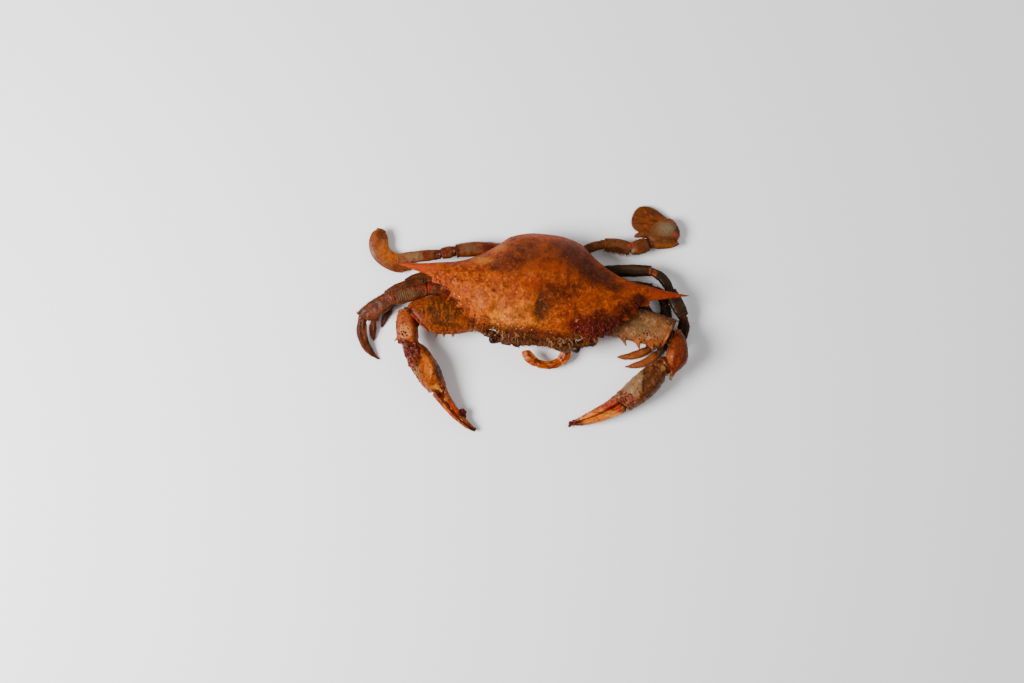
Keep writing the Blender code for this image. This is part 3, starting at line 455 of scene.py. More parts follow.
looks = {}
looks["carapace"] = {
    "base": (190, 100, 34), "ragged": 6.5, "relief": (0.9, 0.6, 2.0, 0.8), "depth": 0.45, "coat": 0.0,
    "gloss": (0.48, 0.75), "shine": 0.08,
    "wet": [
        ((-26, -20, 31), (18, 9, 20), 0.2), ((-14, -27, 31), (20, 7, 20), 0.6),
        ((3, -18, 36), (10, 10, 20), 0.6), ((30, -20, 28), (22, 13, 20), 0.8),],
    "layers": [
        cloud(11, 0.42, 0.68, (204, 118, 42), 0.6), cloud(4.5, 0.5, 0.7, (156, 74, 26), 0.5, seed=2),
        spot((-48, 1, 25), (22, 12, 30), (192, 96, 36), 0.6, 0.9),
        # lighter yellow-orange over the front-left slope: partly the shell's own tone, partly painted light
        # where the window light falls
        spot((-29.6, -17, 30), (20, 11, 24), (214, 132, 48), 0.8, 0.8),
        spot((-15, -26, 30), (18, 8, 24), (236, 160, 76), 0.9, 0.7),
        spot((-6, -21, 35), (17, 10, 24), (224, 144, 60), 0.85, 0.7),
        # darker orange on the right slope: partly the shell's own tone, partly painted shade on the side
        # turned from the window light
        spot((20, -14, 34), (19, 12, 28), (156, 70, 14), 0.65, 0.9),
        cloud(6, 0.5, 0.62, (140, 62, 22), 0.3, seed=22), cloud(3, 0.5, 0.6, (124, 54, 18), 0.45, seed=23),
        cloud(2.4, 0.53, 0.62, (216, 128, 38), 0.45, seed=7),
        cloud(1.5, 0.5, 0.6, (116, 50, 18), 0.5, stretch=(1, 0.6, 1), seed=8),
        cloud(1.1, 0.54, 0.62, (232, 148, 50), 0.5, stretch=(0.6, 1, 1), seed=16),
        spot((4, 12, 34), (42, 17, 30), (164, 90, 52), 0.88, 0.45),
        cloud(5, 0.48, 0.6, (118, 58, 46), 0.55, seed=26),
        cloud(7, 0.52, 0.62, (196, 100, 46), 0.5, seed=34),
        spot((-20, 4.5, 33), (16, 10, 30), (120, 62, 54), 0.85, 0.75),
        spot((-11.7, 13.2, 31), (15, 9, 30), (130, 76, 64), 0.75, 0.8),
        spot((8.1, 17.3, 33), (15, 9, 30), (140, 84, 64), 0.7, 0.8),
        spot((18.8, 11.6, 34), (15, 11, 30), (122, 68, 60), 0.8, 0.8),
        spot((29.7, 3.7, 34), (16, 10, 30), (112, 58, 50), 0.85, 0.8),
        spot((41.5, -0.4, 30), (11, 6, 24), (118, 60, 38), 0.85, 0.8),
        spot((-1, 20, 34), (10, 5, 20), (178, 98, 56), 0.6, 0.9),
        spot((11, 6, 36), (6, 4, 20), (168, 84, 44), 0.5, 0.9),
        spot((-15, 7, 34), (5, 3, 20), (88, 42, 38), 0.6, 0.9),
        spot((12, 13, 35), (5, 4, 20), (96, 50, 46), 0.55, 0.9),
        spot((23, 5, 34), (6, 3, 20), (86, 42, 34), 0.6, 0.9),
        spot((-27, 1.5, 32), (4, 3, 20), (98, 46, 36), 0.6, 0.9),
        spot((-3.8, 25.4, 24), (28, 3.4, 12), (204, 106, 36), 0.9, 0.6),
        spot((2.4, 5.0, 38), (14, 4, 20), (172, 82, 40), 0.6, 0.9),
        spot((-3, 20, 36), (7, 3.4, 20), (166, 86, 40), 0.55, 0.9),
        spot((-34, 6.5, 26), (9, 3, 20), (204, 144, 80), 0.75, 0.8),
        spot((-26, 15, 24), (7, 3, 20), (198, 132, 76), 0.65, 0.8),
        spot((33, 13.6, 27), (4, 4, 20), (188, 120, 62), 0.6, 0.8),
        spot((39, 8.2, 27), (5, 2.6, 20), (182, 112, 56), 0.55, 0.8),
        spot((-0.7, -5.2, 40), (24, 5, 20), (170, 76, 24), 0.75, 0.9),
        spot((5.4, -9, 39), (12, 9, 20), (104, 54, 18), 0.8, 0.6),
        spot((1.4, -18.5, 37), (6.6, 8.8, 20), (86, 49, 15), 0.92, 0.62),
        spot((16.1, -6.3, 38), (6.4, 6.6, 20), (110, 52, 28), 0.85, 0.5),
        spot((16.1, -6.3, 38), (2.6, 2.6, 9), (164, 84, 34), 0.6, 0.6),
        spot((-25.8, -10.9, 34), (1.8, 1.6, 9), (96, 40, 20), 0.9),
        spot((-19.9, -7.8, 36), (4.4, 0.9, 9), (120, 54, 20), 0.75),
        spot((-47, -6.6, 26), (13, 0.9, 12), (130, 60, 24), 0.8),
        # darker orange again on the right slope: partly the shell's own tone, partly painted shade
        spot((27.9, -11.3, 35), (14, 7, 24), (164, 80, 20), 0.6, 0.85),
        spot((26.5, -25, 29), (15, 9, 24), (116, 30, 8), 0.95, 0.6),
        spot((35, -20, 29), (11, 8, 24), (106, 34, 14), 0.9, 0.6),
        # dark red sauce stains on the right wing, made darker still as painted shade on the side turned from
        # the window light
        spot((46, -14, 27), (8, 6, 20), (96, 38, 20), 0.9, 0.6),
        spot((44, -14.6, 27), (3.4, 2.6, 10), (164, 82, 30), 0.6, 0.6),
        spot((54.8, -6, 25), (8, 5, 16), (88, 32, 24), 0.9, 0.6),
        spot((38, -28, 23), (9, 6, 10), (92, 32, 16), 0.9, 0.4),
        spot((46, -21, 23), (9, 6, 10), (100, 38, 18), 0.9, 0.4),
        spot((54, -13, 23), (8, 5, 10), (110, 44, 24), 0.85, 0.4),
        spot((49, 1.6, 26), (10, 4, 20), (182, 82, 46), 0.65, 0.9),
        spot((-72, 0.5, 24), (17, 7, 20), (198, 92, 50), 0.85, 0.7),
        spot((72, 0.5, 24), (16, 7, 20), (176, 74, 48), 0.9, 0.7),
        spot((-66, 2.4, 26), (14, 0.8, 9), (226, 146, 110), 0.5, 0.6),
        spot((83, 0, 24), (3, 2, 5), (70, 30, 26), 0.9),
        spot((-48, -18.6, 23), (4.2, 3.0, 9), (96, 30, 26), 0.95, 0.5),
        spot((-52.6, -13.4, 23), (3.8, 2.6, 9), (100, 34, 28), 0.95, 0.5),
        spot((-43.7, -23, 23), (4.2, 2.8, 9), (90, 32, 26), 0.95, 0.5),
        spot((-37, -28.5, 23), (6, 4, 9), (88, 44, 22), 0.9),
        spot((-59, -8, 24), (6, 4, 9), (204, 100, 48), 0.75),
        spot((-56, -5, 24), (4, 1.2, 9), (140, 62, 32), 0.6),
        spot((-2, -37, 24), (46, 13, 16), (96, 50, 20), 0.95, 0.5),
        spot((-20, -31, 24), (6, 2, 9), (176, 104, 48), 0.6, 0.9),
        spot((4, -32, 24), (7, 2, 9), (168, 96, 42), 0.6, 0.9),
        spot((0, 28, 16), (70, 30, 2.6), (112, 54, 26), 0.8),
        *[spot((x, y, 33), (5.4, 3.6, 20), (96, 50, 48), 0.5, 0.95) for x, y in rearMottles],
        cloud(2.6, 0.5, 0.62, (112, 50, 34), 0.35, seed=27),
        cloud(1.6, 0.52, 0.62, (194, 108, 60), 0.3, seed=28), specks(3.2, 0.12, 0.22, (78, 30, 16), 0.7),],
}
looks["leftClaw"] = {
    "base": (172, 94, 34), "ragged": 6.0, "depth": 0.4, "relief": (0.8, 0.4, 1.6, 0.9),
    "wet": [
        ((-69, -48, 16), (9, 10, 12), 0.5),],
    "layers": [
        cloud(6, 0.45, 0.65, (196, 120, 44), 0.5),
        spot((-66, -27, 18), (10, 11, 14), (146, 68, 20), 0.8, 0.5),
        spot((-54, -23, 20), (18, 11, 14), (108, 66, 24), 0.9, 0.7),
        cloud(2.2, 0.5, 0.59, (190, 108, 34), 0.7, stretch=(1, 0.25, 1), seed=4),
        cloud(1.8, 0.52, 0.6, (78, 40, 20), 0.65, stretch=(1, 0.4, 1), seed=6),
        cloud(1.2, 0.55, 0.66, (206, 136, 58), 0.3, stretch=(1, 0.4, 1), seed=17),
        spot((-52, -31, 18), (12, 2.4, 12), (92, 54, 22), 0.8),
        spot((-75, -35, 18), (9, 13, 14), (172, 92, 44), 0.85, 0.5),
        cloud(1.6, 0.52, 0.64, (126, 56, 26), 0.6, seed=11),
        spot((-73.5, -37.5, 20), (5.5, 5.5, 9), (212, 152, 108), 0.85, 0.7),
        spot((-79.6, -36, 14), (2.6, 10, 12), (148, 52, 28), 0.75),
        spot((-71, -26, 20), (4, 3, 8), (88, 54, 40), 0.85),
        spot((-69, -30, 20), (3, 5, 10), (162, 52, 32), 0.75),
        spot((-73, -43.6, 16), (8, 2.2, 12), (130, 40, 24), 0.85),
        spot((-58.5, -56, 18), (4.5, 11, 10), (210, 126, 42), 0.85),
        spot((-60.5, -60, 16), (1.0, 9, 9), (158, 78, 28), 0.7),
        spot((-56.4, -57, 18), (1.0, 8, 9), (232, 156, 70), 0.6),
        spot((-65, -61, 12), (3.6, 12, 14), (152, 118, 82), 0.9),
        spot((-52, -55, 12), (3.2, 13, 14), (88, 50, 24), 0.9),
        spot((-69, -47.5, 17), (7, 5.5, 14), (88, 24, 24), 0.95),
        spot((-66, -53, 17), (4.6, 6, 14), (116, 42, 28), 0.85),
        spot((-51, -67, 13), (6, 2.4, 10), (222, 162, 84), 0.8),
        spot((-49, -70.5, 12), (6, 1.6, 10), (116, 40, 24), 0.85),
        spot((-41, -76, 8), (6, 10, 12), (182, 74, 30), 0.8),
        # painted highlight: a thin light stripe along the finger
        spot((-46, -76, 8), (2, 9, 9), (214, 134, 52), 0.6),
        spot((-36.8, -79.3, 6), (3, 3, 6), (74, 22, 18), 0.95),
        spot((-29, -87.5, 3), (4, 3, 6), (96, 32, 22), 0.9),
        cloud(1.4, 0.53, 0.61, (132, 58, 26), 0.45, seed=30),
        cloud(1.3, 0.54, 0.64, (226, 154, 74), 0.28, seed=9), specks(2.2, 0.22, 0.24, (100, 32, 22), 0.8),],
}
looks["rightClaw"] = {
    "base": (134, 78, 38), "ragged": 4.0, "depth": 0.36, "relief": (0.8, 0.35, 1.6, 0.8), "shine": 0.1,
    "layers": [
        cloud(6, 0.45, 0.65, (150, 92, 46), 0.5),
        spot((58, -20, 20), (21, 12, 14), (156, 116, 94), 0.95, 0.4),
        cloud(2.4, 0.5, 0.6, (196, 158, 134), 0.55, seed=12),
        cloud(1.5, 0.52, 0.6, (116, 68, 46), 0.5, stretch=(0.8, 1, 1), seed=24),
        spot((57, -19, 20), (10, 5, 12), (118, 98, 84), 0.6, 0.8),
        spot((48, -13, 18), (10, 4, 12), (196, 134, 66), 0.6),
        spot((61, -28.5, 16), (16, 3.6, 12), (188, 110, 60), 0.65),
        spot((73, -23, 20), (4, 7, 12), (182, 110, 66), 0.6),
        spot((81, -33, 18), (9, 15, 16), (134, 58, 20), 0.95, 0.4),
        cloud(2.0, 0.52, 0.64, (166, 84, 38), 0.5, seed=14),
        spot((76.5, -35, 20), (3, 6, 9), (188, 112, 74), 0.7),
        spot((78, -22, 20), (4, 3, 9), (84, 50, 34), 0.85),
        spot((68, -51, 18), (9, 13, 14), (112, 64, 24), 0.85, 0.5),
        spot((58, -51, 12), (7, 14, 14), (164, 130, 110), 0.95, 0.5),
        spot((63.2, -51, 20), (1.2, 12, 10), (68, 34, 18), 0.8),
        spot((56, -61, 14), (4.6, 3, 10), (150, 62, 28), 0.85),
        spot((40, -67, 9), (18, 8, 12), (178, 72, 36), 0.95, 0.4),
        spot((45, -73.5, 9), (20, 6.4, 12), (226, 140, 64), 0.95, 0.4),
        # painted highlight: a thin yellow stripe along the finger's ridge
        spot((48, -71, 12), (11, 1.6, 6), (240, 176, 96), 0.7),
        spot((38, -70, 12), (14, 0.9, 8), (112, 34, 20), 0.7),
        spot((27.5, -77.3, 4), (5, 3.2, 6), (128, 34, 24), 0.9),
        cloud(2.2, 0.52, 0.68, (92, 46, 26), 0.35, seed=6),
        cloud(1.2, 0.55, 0.66, (206, 140, 84), 0.3, seed=18), specks(2.6, 0.16, 0.22, (104, 38, 22), 0.7),],
}
looks["leftLegs"] = {
    "base": (104, 52, 30), "ragged": 5.0, "depth": 0.36, "relief": (0.8, 0.35, 1.5, 0.9), "shine": 0.1,
    "gloss": (0.45, 0.65),
    "layers": [
        cloud(5, 0.42, 0.62, (132, 76, 42), 0.7), cloud(3, 0.5, 0.64, (128, 96, 74), 0.55, seed=3),
        cloud(3.4, 0.52, 0.66, (164, 68, 26), 0.75, seed=5),
        spot((-76, -16, 14), (9, 3.4, 10), (124, 88, 54), 0.75),
        spot((-64, -11, 14), (3, 3.5, 8), (172, 62, 34), 0.85),
        spot((-84, -19, 14), (2.5, 4, 8), (150, 58, 30), 0.7),
        spot((-93, -30, 10), (3, 8, 8), (160, 70, 26), 0.55),
        spot((-97, -40, 4), (3, 14, 8), (104, 40, 26), 0.6),
        # painted highlight: a thin light stripe along the front leg's dactyl
        spot((-96.6, -37, 6), (1.6, 9, 8), (176, 118, 90), 0.8),
        cloud(1.4, 0.54, 0.66, (70, 30, 20), 0.65, seed=10),
        cloud(1.2, 0.56, 0.66, (190, 120, 70), 0.35, seed=19), specks(2.0, 0.16, 0.25, (60, 26, 18), 0.8),],
}
looks["rightLegs"] = {
    "base": (78, 50, 32), "ragged": 5.0, "shine": 0.14, "gloss": (0.4, 0.6),
    "layers": [
        cloud(5, 0.42, 0.62, (88, 60, 36), 0.7), cloud(3, 0.5, 0.68, (52, 32, 22), 0.7, seed=3),
        spot((50, 14.5, 12), (16, 1.6, 8), (116, 80, 52), 0.7),
        spot((82, -19, 7), (5, 12, 10), (92, 60, 40), 0.7),
        spot((62.5, 13.5, 11), (3.4, 3.4, 8), (152, 88, 60), 0.85),
        spot((63.5, 12, 12), (1.6, 1.6, 6), (176, 84, 60), 0.7),
        spot((68, -22, 6), (6, 9, 8), (112, 94, 68), 0.7),
        spot((85, -14, 10), (3, 3, 8), (104, 48, 30), 0.7),
        spot((56, -37, 4), (20, 9, 12), (166, 98, 58), 0.9, 0.4),
        spot((54, -35.6, 4), (12, 0.9, 8), (176, 112, 62), 0.7),
        spot((56, -40.5, 4), (12, 0.9, 8), (166, 104, 58), 0.7),
        spot((74, 0, 10), (4, 7, 8), (96, 64, 42), 0.7), spot((70, -13, 6), (7, 6, 8), (128, 92, 66), 0.75),
        cloud(2.4, 0.55, 0.7, (150, 88, 40), 0.4, stretch=(0.3, 1, 1), seed=8),
        specks(2.2, 0.14, 0.25, (40, 22, 16), 0.8),],
}
looks["leftSwim"] = {
    "base": (152, 92, 70), "ragged": 4.0, "shine": 0.1,
    "layers": [
        cloud(5, 0.42, 0.65, (164, 116, 90), 0.7), cloud(3, 0.48, 0.62, (120, 50, 42), 0.7, seed=3),
        spot((-32, 16, 9), (7, 4, 8), (128, 40, 38), 0.75),
        spot((-46, 14, 10), (6, 4, 8), (136, 90, 66), 0.7),
        spot((-58, 11, 10), (6, 4, 8), (132, 56, 40), 0.8),
        spot((-66, 9, 9), (4, 4, 8), (136, 78, 56), 0.7),
        spot((-75, 7, 9), (8, 4, 8), (156, 124, 104), 0.8),
        spot((-30, 17, 10), (7, 3.4, 8), (104, 34, 30), 0.85),
        spot((-43, 15, 11), (7, 2.6, 8), (136, 104, 96), 0.75),
        spot((-51.5, 13, 10), (3.6, 5, 8), (98, 30, 26), 0.9),
        spot((-57, 11.5, 10), (3.6, 3, 8), (120, 44, 34), 0.8),
        spot((-61.5, 9.6, 10), (3, 4, 8), (92, 30, 26), 0.85),
        spot((-68, 8.4, 9), (3, 4, 8), (128, 56, 44), 0.8),
        spot((-88, 9, 5), (11, 9, 8), (196, 120, 60), 0.9),
        cloud(2.6, 0.5, 0.62, (150, 84, 42), 0.5, seed=32),
        spot((-99, 15, 6), (6, 9, 8), (164, 94, 40), 0.75),
        spot((-95.5, 18.5, 6), (3, 4, 6), (118, 66, 38), 0.85),
        spot((-80, 5, 4), (5, 4, 6), (168, 112, 62), 0.6),
        cloud(1.5, 0.52, 0.62, (104, 48, 34), 0.5, seed=9), specks(2.0, 0.16, 0.24, (92, 34, 26), 0.8),],
}
looks["rightSwim"] = {
    "base": (138, 82, 58), "ragged": 4.0, "shine": 0.1,
    "layers": [
        cloud(5, 0.42, 0.65, (156, 102, 72), 0.7), cloud(3, 0.52, 0.7, (104, 56, 36), 0.6, seed=3),
        spot((40, 27, 10), (9, 3.4, 8), (138, 84, 58), 0.7),
        spot((48.4, 27.5, 10), (2.6, 2.6, 5), (186, 72, 70), 0.8, 0.9),
        spot((52.8, 26.4, 10), (2.2, 2.4, 5), (180, 70, 64), 0.8, 0.9),
        spot((50.4, 24.6, 9), (2.6, 2.0, 5), (172, 160, 132), 0.8, 0.8),
        cloud(1.6, 0.52, 0.62, (92, 48, 34), 0.55, seed=25),
        spot((41, 24.4, 8), (9, 1.6, 6), (84, 48, 34), 0.8),
        cloud(2.6, 0.52, 0.6, (150, 112, 90), 0.45, seed=31),
        spot((55, 28, 9), (5, 4, 8), (120, 68, 44), 0.7),
        spot((66, 38, 7), (10, 8, 8), (140, 100, 76), 0.85, 0.8),
        spot((68.5, 40, 8), (9, 6, 8), (152, 134, 124), 0.8, 0.9),
        spot((75, 41, 7), (2.6, 6, 6), (86, 54, 46), 0.9),
        spot((74.4, 37, 7), (2.4, 2.8, 5), (178, 80, 64), 0.7, 0.95),
        spot((69, 34.5, 7), (9, 1.6, 8), (120, 66, 44), 0.7),
        spot((69, 30.2, 5), (13, 1.4, 6), (158, 98, 46), 0.85),
        spot((57, 33, 6), (6, 3, 6), (134, 70, 34), 0.8), specks(2.0, 0.1, 0.24, (80, 36, 24), 0.7),],
}
looks["paddle"] = {
    "base": (152, 86, 38), "ragged": 4.0, "shine": 0.12, "depth": 0.3, "relief": (0.6, 0.15, 2.6, 0.9),
    "layers": [
        cloud(7, 0.42, 0.65, (124, 68, 30), 0.8), cloud(3, 0.5, 0.64, (172, 104, 48), 0.5, seed=3),
        cloud(2.2, 0.52, 0.6, (96, 52, 24), 0.6, stretch=(0.3, 0.8, 1), seed=5),
        spot((66, 50, 3), (9, 3, 5), (128, 66, 30), 0.7), spot((52, 45, 3), (5, 8, 5), (126, 72, 34), 0.6),],
}
looks["mouthLeg"] = {
    "base": (192, 102, 40), "ragged": 3.0, "gloss": (0.3, 0.5), "coat": 0.15, "depth": 0.4,
    "relief": (0.8, 0.3, 1.6, 1.0),
    "layers": [
        cloud(2.6, 0.46, 0.58, (148, 54, 24), 0.85),
        cloud(1.6, 0.5, 0.6, (226, 150, 76), 0.7, stretch=(0.5, 1, 1), seed=3),
        spot((-2.4, -39, 8), (3.6, 4, 6), (206, 120, 82), 0.7),
        spot((7, -44, 8), (4, 2.2, 6), (214, 150, 84), 0.5),
        spot((-3, -40, 6), (3, 3, 6), (140, 46, 26), 0.7),
        spot((18, -38, 7), (2.4, 3, 6), (132, 56, 26), 0.8), specks(1.6, 0.2, 0.3, (96, 34, 20), 0.8),],
}
looks["face"] = {
    "base": (108, 56, 30), "ragged": 3.0, "gloss": (0.35, 0.6), "coat": 0.06, "depth": 0.4,
    "relief": (0.8, 0.4, 1.6, 1.0),
    "layers": [
        cloud(3, 0.42, 0.62, (150, 88, 42), 0.6), cloud(2, 0.48, 0.62, (66, 34, 26), 0.85, seed=3),
        specks(1.6, 0.14, 0.3, (196, 150, 104), 0.6),],
}
looks["eye"] = {
    "base": (86, 48, 34), "ragged": 2.0, "gloss": (0.22, 0.4), "coat": 0.05, "relief": (0.5, 0.3, 1.4, 0.5),
    "depth": 0.2,
    "layers": [
        cloud(1.6, 0.46, 0.6, (48, 26, 24), 0.9), specks(1.0, 0.2, 0.3, (160, 104, 62), 0.6),],
}
looks["belly"] = {
    "base": (206, 146, 96), "ragged": 8.0, "gloss": (0.4, 0.6), "coat": 0.06,
    "layers": [
        cloud(10, 0.42, 0.62, (198, 112, 56), 0.7), cloud(4, 0.5, 0.66, (224, 184, 140), 0.5, seed=3),
        spot((0, -27, 8), (30, 6, 9), (150, 76, 38), 0.8),
        spot((0, 21, 8), (32, 7, 9), (156, 80, 42), 0.85),
        spot((-26, -3, 8), (6, 26, 9), (158, 80, 42), 0.8),
        spot((26, -3, 8), (6, 26, 9), (150, 74, 38), 0.8),
        cloud(2.2, 0.5, 0.62, (142, 70, 36), 0.45, seed=33), specks(2.6, 0.14, 0.24, (120, 54, 30), 0.7),],
}
looks["skin"] = {
    "base": (136, 74, 42), "ragged": 3.0, "gloss": (0.28, 0.5), "coat": 0.1,
    "layers": [
        cloud(2.4, 0.42, 0.62, (104, 42, 28), 0.8), cloud(1.6, 0.54, 0.7, (178, 120, 78), 0.5, seed=3),],
}
looks["hair"] = {
    "base": (134, 80, 36), "ragged": 3.0, "gloss": (0.35, 0.6), "coat": 0.1,
    "layers": [
        cloud(2.2, 0.42, 0.62, (186, 124, 62), 0.7), cloud(1.6, 0.52, 0.7, (70, 38, 22), 0.7, seed=3),],
}
looks["paleHair"] = {
    "base": (214, 176, 150), "ragged": 3.0, "gloss": (0.35, 0.6), "coat": 0.1,
    "layers": [
        cloud(2.2, 0.46, 0.6, (170, 108, 66), 0.7),],
}
looks["oil"] = {
    "base": (204, 118, 42), "ragged": 3.0, "gloss": (0.1, 0.2), "coat": 1.0, "shine": 0.5,
    "relief": (0.5, 0.05, 1.4, 0.1), "depth": 0.05,
    "layers": [
        cloud(4, 0.42, 0.62, (176, 92, 30), 0.7),],
}
looks["crust"] = {
    "base": (124, 38, 18), "ragged": 3.0, "gloss": (0.4, 0.65), "coat": 0.05, "shine": 0.12,
    "relief": (0.6, 0.5, 1.4, 0.9), "depth": 0.4,
    "layers": [
        cloud(2, 0.42, 0.62, (140, 48, 26), 0.7), cloud(1.2, 0.52, 0.68, (64, 20, 14), 0.8, seed=3),],
}
finishes = {name: makeFinish(name, look) for name, look in looks.items()}
print("materials:", len(finishes))


# places where sauce has dried to a crust: centre, radius and height

crusts = [
    ((-69, -47, 18), 5.5, 0.9), ((-66, -52.5, 18), 4.0, 0.6), ((-48, -68, 12), 3.5, 0.5),
    ((56, -61, 15), 4.0, 0.7), ((28, -26, 27), 9.0, 0.45), ((20, -30, 26), 6.0, 0.4),
    ((42, -17, 25), 6.0, 0.4), ((48, -11, 25), 4.0, 0.5), ((-70, -44, 18), 4.0, 0.6),
]


# how uneven a crust is: least share of its height, what lumps add, their size and seed
crustRough = {"least": 0.5, "lumps": 0.7, "size": 1.6, "seed": 41}


def crustLift(points):
    # each crust lifts the skin by its height, times a bell round its centre and rough lumps
    facts = crustRough
    lift = np.zeros(points.shape[:-1])
    rough = facts["least"] + facts["lumps"] * roughness(points, facts["size"], facts["seed"])
    for centre, radius, height in crusts:
        lift += height * bell(np.linalg.norm(points - np.array(centre), axis=-1), radius) * rough
    return np.maximum(lift, 0)


# the back shell

shell = {
    "halfWidth": 84.0, "top": 40.0, "rearEdge": 17.0, "frontEdge": 24.5, "spineHeight": 24.0,
    "bellyTop": 11.7, "gap": 0.3, "columns": 441, "overRows": 128, "underRows": 56,
    "rearOutline": [
        (84, 0), (71, 1.3), (60, 3), (50.5, 4.8), (44.7, 6.6), (38, 10), (31, 14.6), (26.3, 18.4),
        (20.5, 23.3), (13.5, 25.8), (7, 27), (0, 27.2)],
    "frontOutline": [
        (84, 0), (72, -2.9), (61.2, -5.8), (55.2, -9.6), (50.5, -14), (46.3, -18.2), (42.3, -22),
        (38.5, -25.6), (34.8, -28.6), (30.8, -31.2), (27, -31.6), (24, -31.4), (20.5, -32.6),
        (18.2, -33.8), (15.5, -34.2), (11.4, -34.8), (8, -34.6), (4.6, -34.4), (0, -33.6)],
    # x of each tooth's root, then how far its tip stands out in x and in y
    "teeth": [
        (58.2, 5.5, -1.1), (52.9, 5, -2.8), (48.4, 4.4, -3), (44.3, 3.3, -3.2), (40.4, 2.5, -3.2),
        (36.7, 2, -3.1), (32.8, 1.8, -3), (29.4, 1.2, -3.8), (18.2, 0.2, -2.6), (11.4, 0, -3.2),
        (4.6, 0, -2.4)],
    "dome": [
        (0, 0), (0.06, 0.35), (0.15, 0.62), (0.3, 0.86), (0.45, 0.95), (0.6, 0.905), (0.75, 0.69),
        (0.88, 0.39), (0.95, 0.18), (1, 0)],
    "underside": [
        (0, 0), (0.03, 0.34), (0.08, 0.68), (0.17, 0.92), (0.32, 1), (0.72, 1), (0.88, 0.7), (1, 0)],
    # raised regions: centre x (both sides), y, spread x, spread y, height
    "regions": [
        (0, -19, 15, 9, 0.5), (0, 5, 8, 8, 0.4), (31, -3, 15, 10, 0.45), (14, -28, 8, 5, 0.3),
        (18, 12, 9, 8, 0.3)],
    # grooves: two ends (both sides), spread, depth
    "grooves": [
        ((27, -24), (17, -9), 1.6, 0.4), ((17, -9), (4, -4), 1.6, 0.35), ((10, -2), (10, 13), 1.8, 0.4),
        ((5, 14), (15, 18), 1.8, 0.25)],
    # crests: two ends (both sides), spread, height
    "crests": [
        ((61, -3.5), (45, -7.5), 0.9, 0.5), ((45, -7.5), (27, -10), 0.9, 0.4),
        ((18, -14), (6, -13), 0.8, 0.2)],
    "toothShare": 0.72, "grainSize": 1.25, "grain": 0.11, "rim": 0.28,
}


def distanceToLine(x, y, start, end):
    # distance in the plane from (x, y) to the nearest point of the line from start to end
    sx, sy = start
    dx, dy = end[0] - sx, end[1] - sy
    t = np.clip(((x - sx) * dx + (y - sy) * dy) / (dx * dx + dy * dy), 0, 1)
    return np.hypot(x - sx - t * dx, y - sy - t * dy)


def shellRelief(x, y):
    # sum of bells for the regions and crests, less those of the grooves; the same on both sides
    ax = np.abs(x)
    relief = np.zeros(x.shape)
    for cx, cy, sx, sy, height in shell["regions"]:
        relief += height * np.exp(-((ax - cx) / sx) ** 2 - ((y - cy) / sy) ** 2)
    for start, end, spread, depth in shell["grooves"]:
        relief -= depth * bell(distanceToLine(ax, y, start, end), spread)
    for start, end, spread, height in shell["crests"]:
        relief += height * bell(distanceToLine(ax, y, start, end), spread)
    return relief


# where the shell's features begin and end: x for "Sides" and "Rise", shares of the way from the rear
# edge to the front edge for the others
shellBlend = {
    "browShare": 0.4, "browSides": (19, 28), "toothChange": 0.12, "toothWave": 2.3,
    "rearRise": (22, 62), "frontRise": (30, 80), "spineRound": 0.42, "spineSides": (55, 75),
    "domeFoot": 19.5, "domeHalf": 76, "domePower": 1.8, "floorLift": 8.6, "floorRise": (26, 52),
    "toothStart": 0.86, "toothLength": 0.14, "toothPower": 2.4,
    "reliefRear": (0, 0.12), "reliefFront": (0.9, 1), "reliefSides": (62, 76), "bodySides": (60, 72),
    "grainY": (-8, 8), "grainRear": 0.35, "grainFront": 0.65, "wave": 0.16, "waveSize": 6.0,
    "rimMiddle": 0.018, "rimWidth": 0.012, "rimSides": (66, 80),
    "toothRidge": 0.5, "longTooth": 3.2, "ridgeMiddle": 0.97, "ridgeWidth": 0.03, "crustSides": (60, 70),
    "underPull": 0.045, "underPower": 1.6, "deepest": 0.5, "wallStart": (0.01, 0.06), "wallEnd": (0.2, 0.3),
    "wallLumps": 0.45, "wallSize": 3.0, "tipInset": 0.15, "overCrowd": 0.06, "underCrowd": 1.6,
}


def shellTooth(x):
    # how far the nearest tooth's tip stands out in x and y, a little more or less for each tooth
    blend = shellBlend
    ax = np.abs(x)
    knots = [(x, 0.0, 0.0) for x, _ in shell["frontOutline"]] + [tuple(t) for t in shell["teeth"]]
    unique = {x: (dx, dy) for x, dx, dy in knots}
    reachX = straight([(x, dx) for x, (dx, dy) in unique.items()], ax)
    reachY = straight([(x, dy) for x, (dx, dy) in unique.items()], ax)
    lowered = shell["toothShare"] - blend["browShare"] * fade(ax, *blend["browSides"])
    lowered = lowered + blend["toothChange"] * np.sin(blend["toothWave"] * x + 1)
    return reachX * lowered, reachY * lowered


def shellBase(x):
    # at each x: rear y, front y, rear height, front height, dome height and height of the floor
    blend = shellBlend
    ax = np.abs(x)
    rearY, frontY = curve(shell["rearOutline"], ax), curve(shell["frontOutline"], ax)
    rearZ = shell["rearEdge"] + (shell["spineHeight"] - shell["rearEdge"]) * ease(ax, *blend["rearRise"])
    frontZ = shell["frontEdge"] + (shell["spineHeight"] - shell["frontEdge"]) * ease(ax, *blend["frontRise"])
    rounding = blend["spineRound"] * (rearY - frontY) * ease(ax, *blend["spineSides"])
    bowl = np.maximum(0, 1 - (ax / blend["domeHalf"]) ** 2) ** blend["domePower"]
    dome = (shell["top"] - blend["domeFoot"]) * bowl + rounding
    floorZ = shell["bellyTop"] + shell["gap"] + blend["floorLift"] * ease(ax, *blend["floorRise"])
    return rearY, frontY, rearZ, frontZ, dome, floorZ


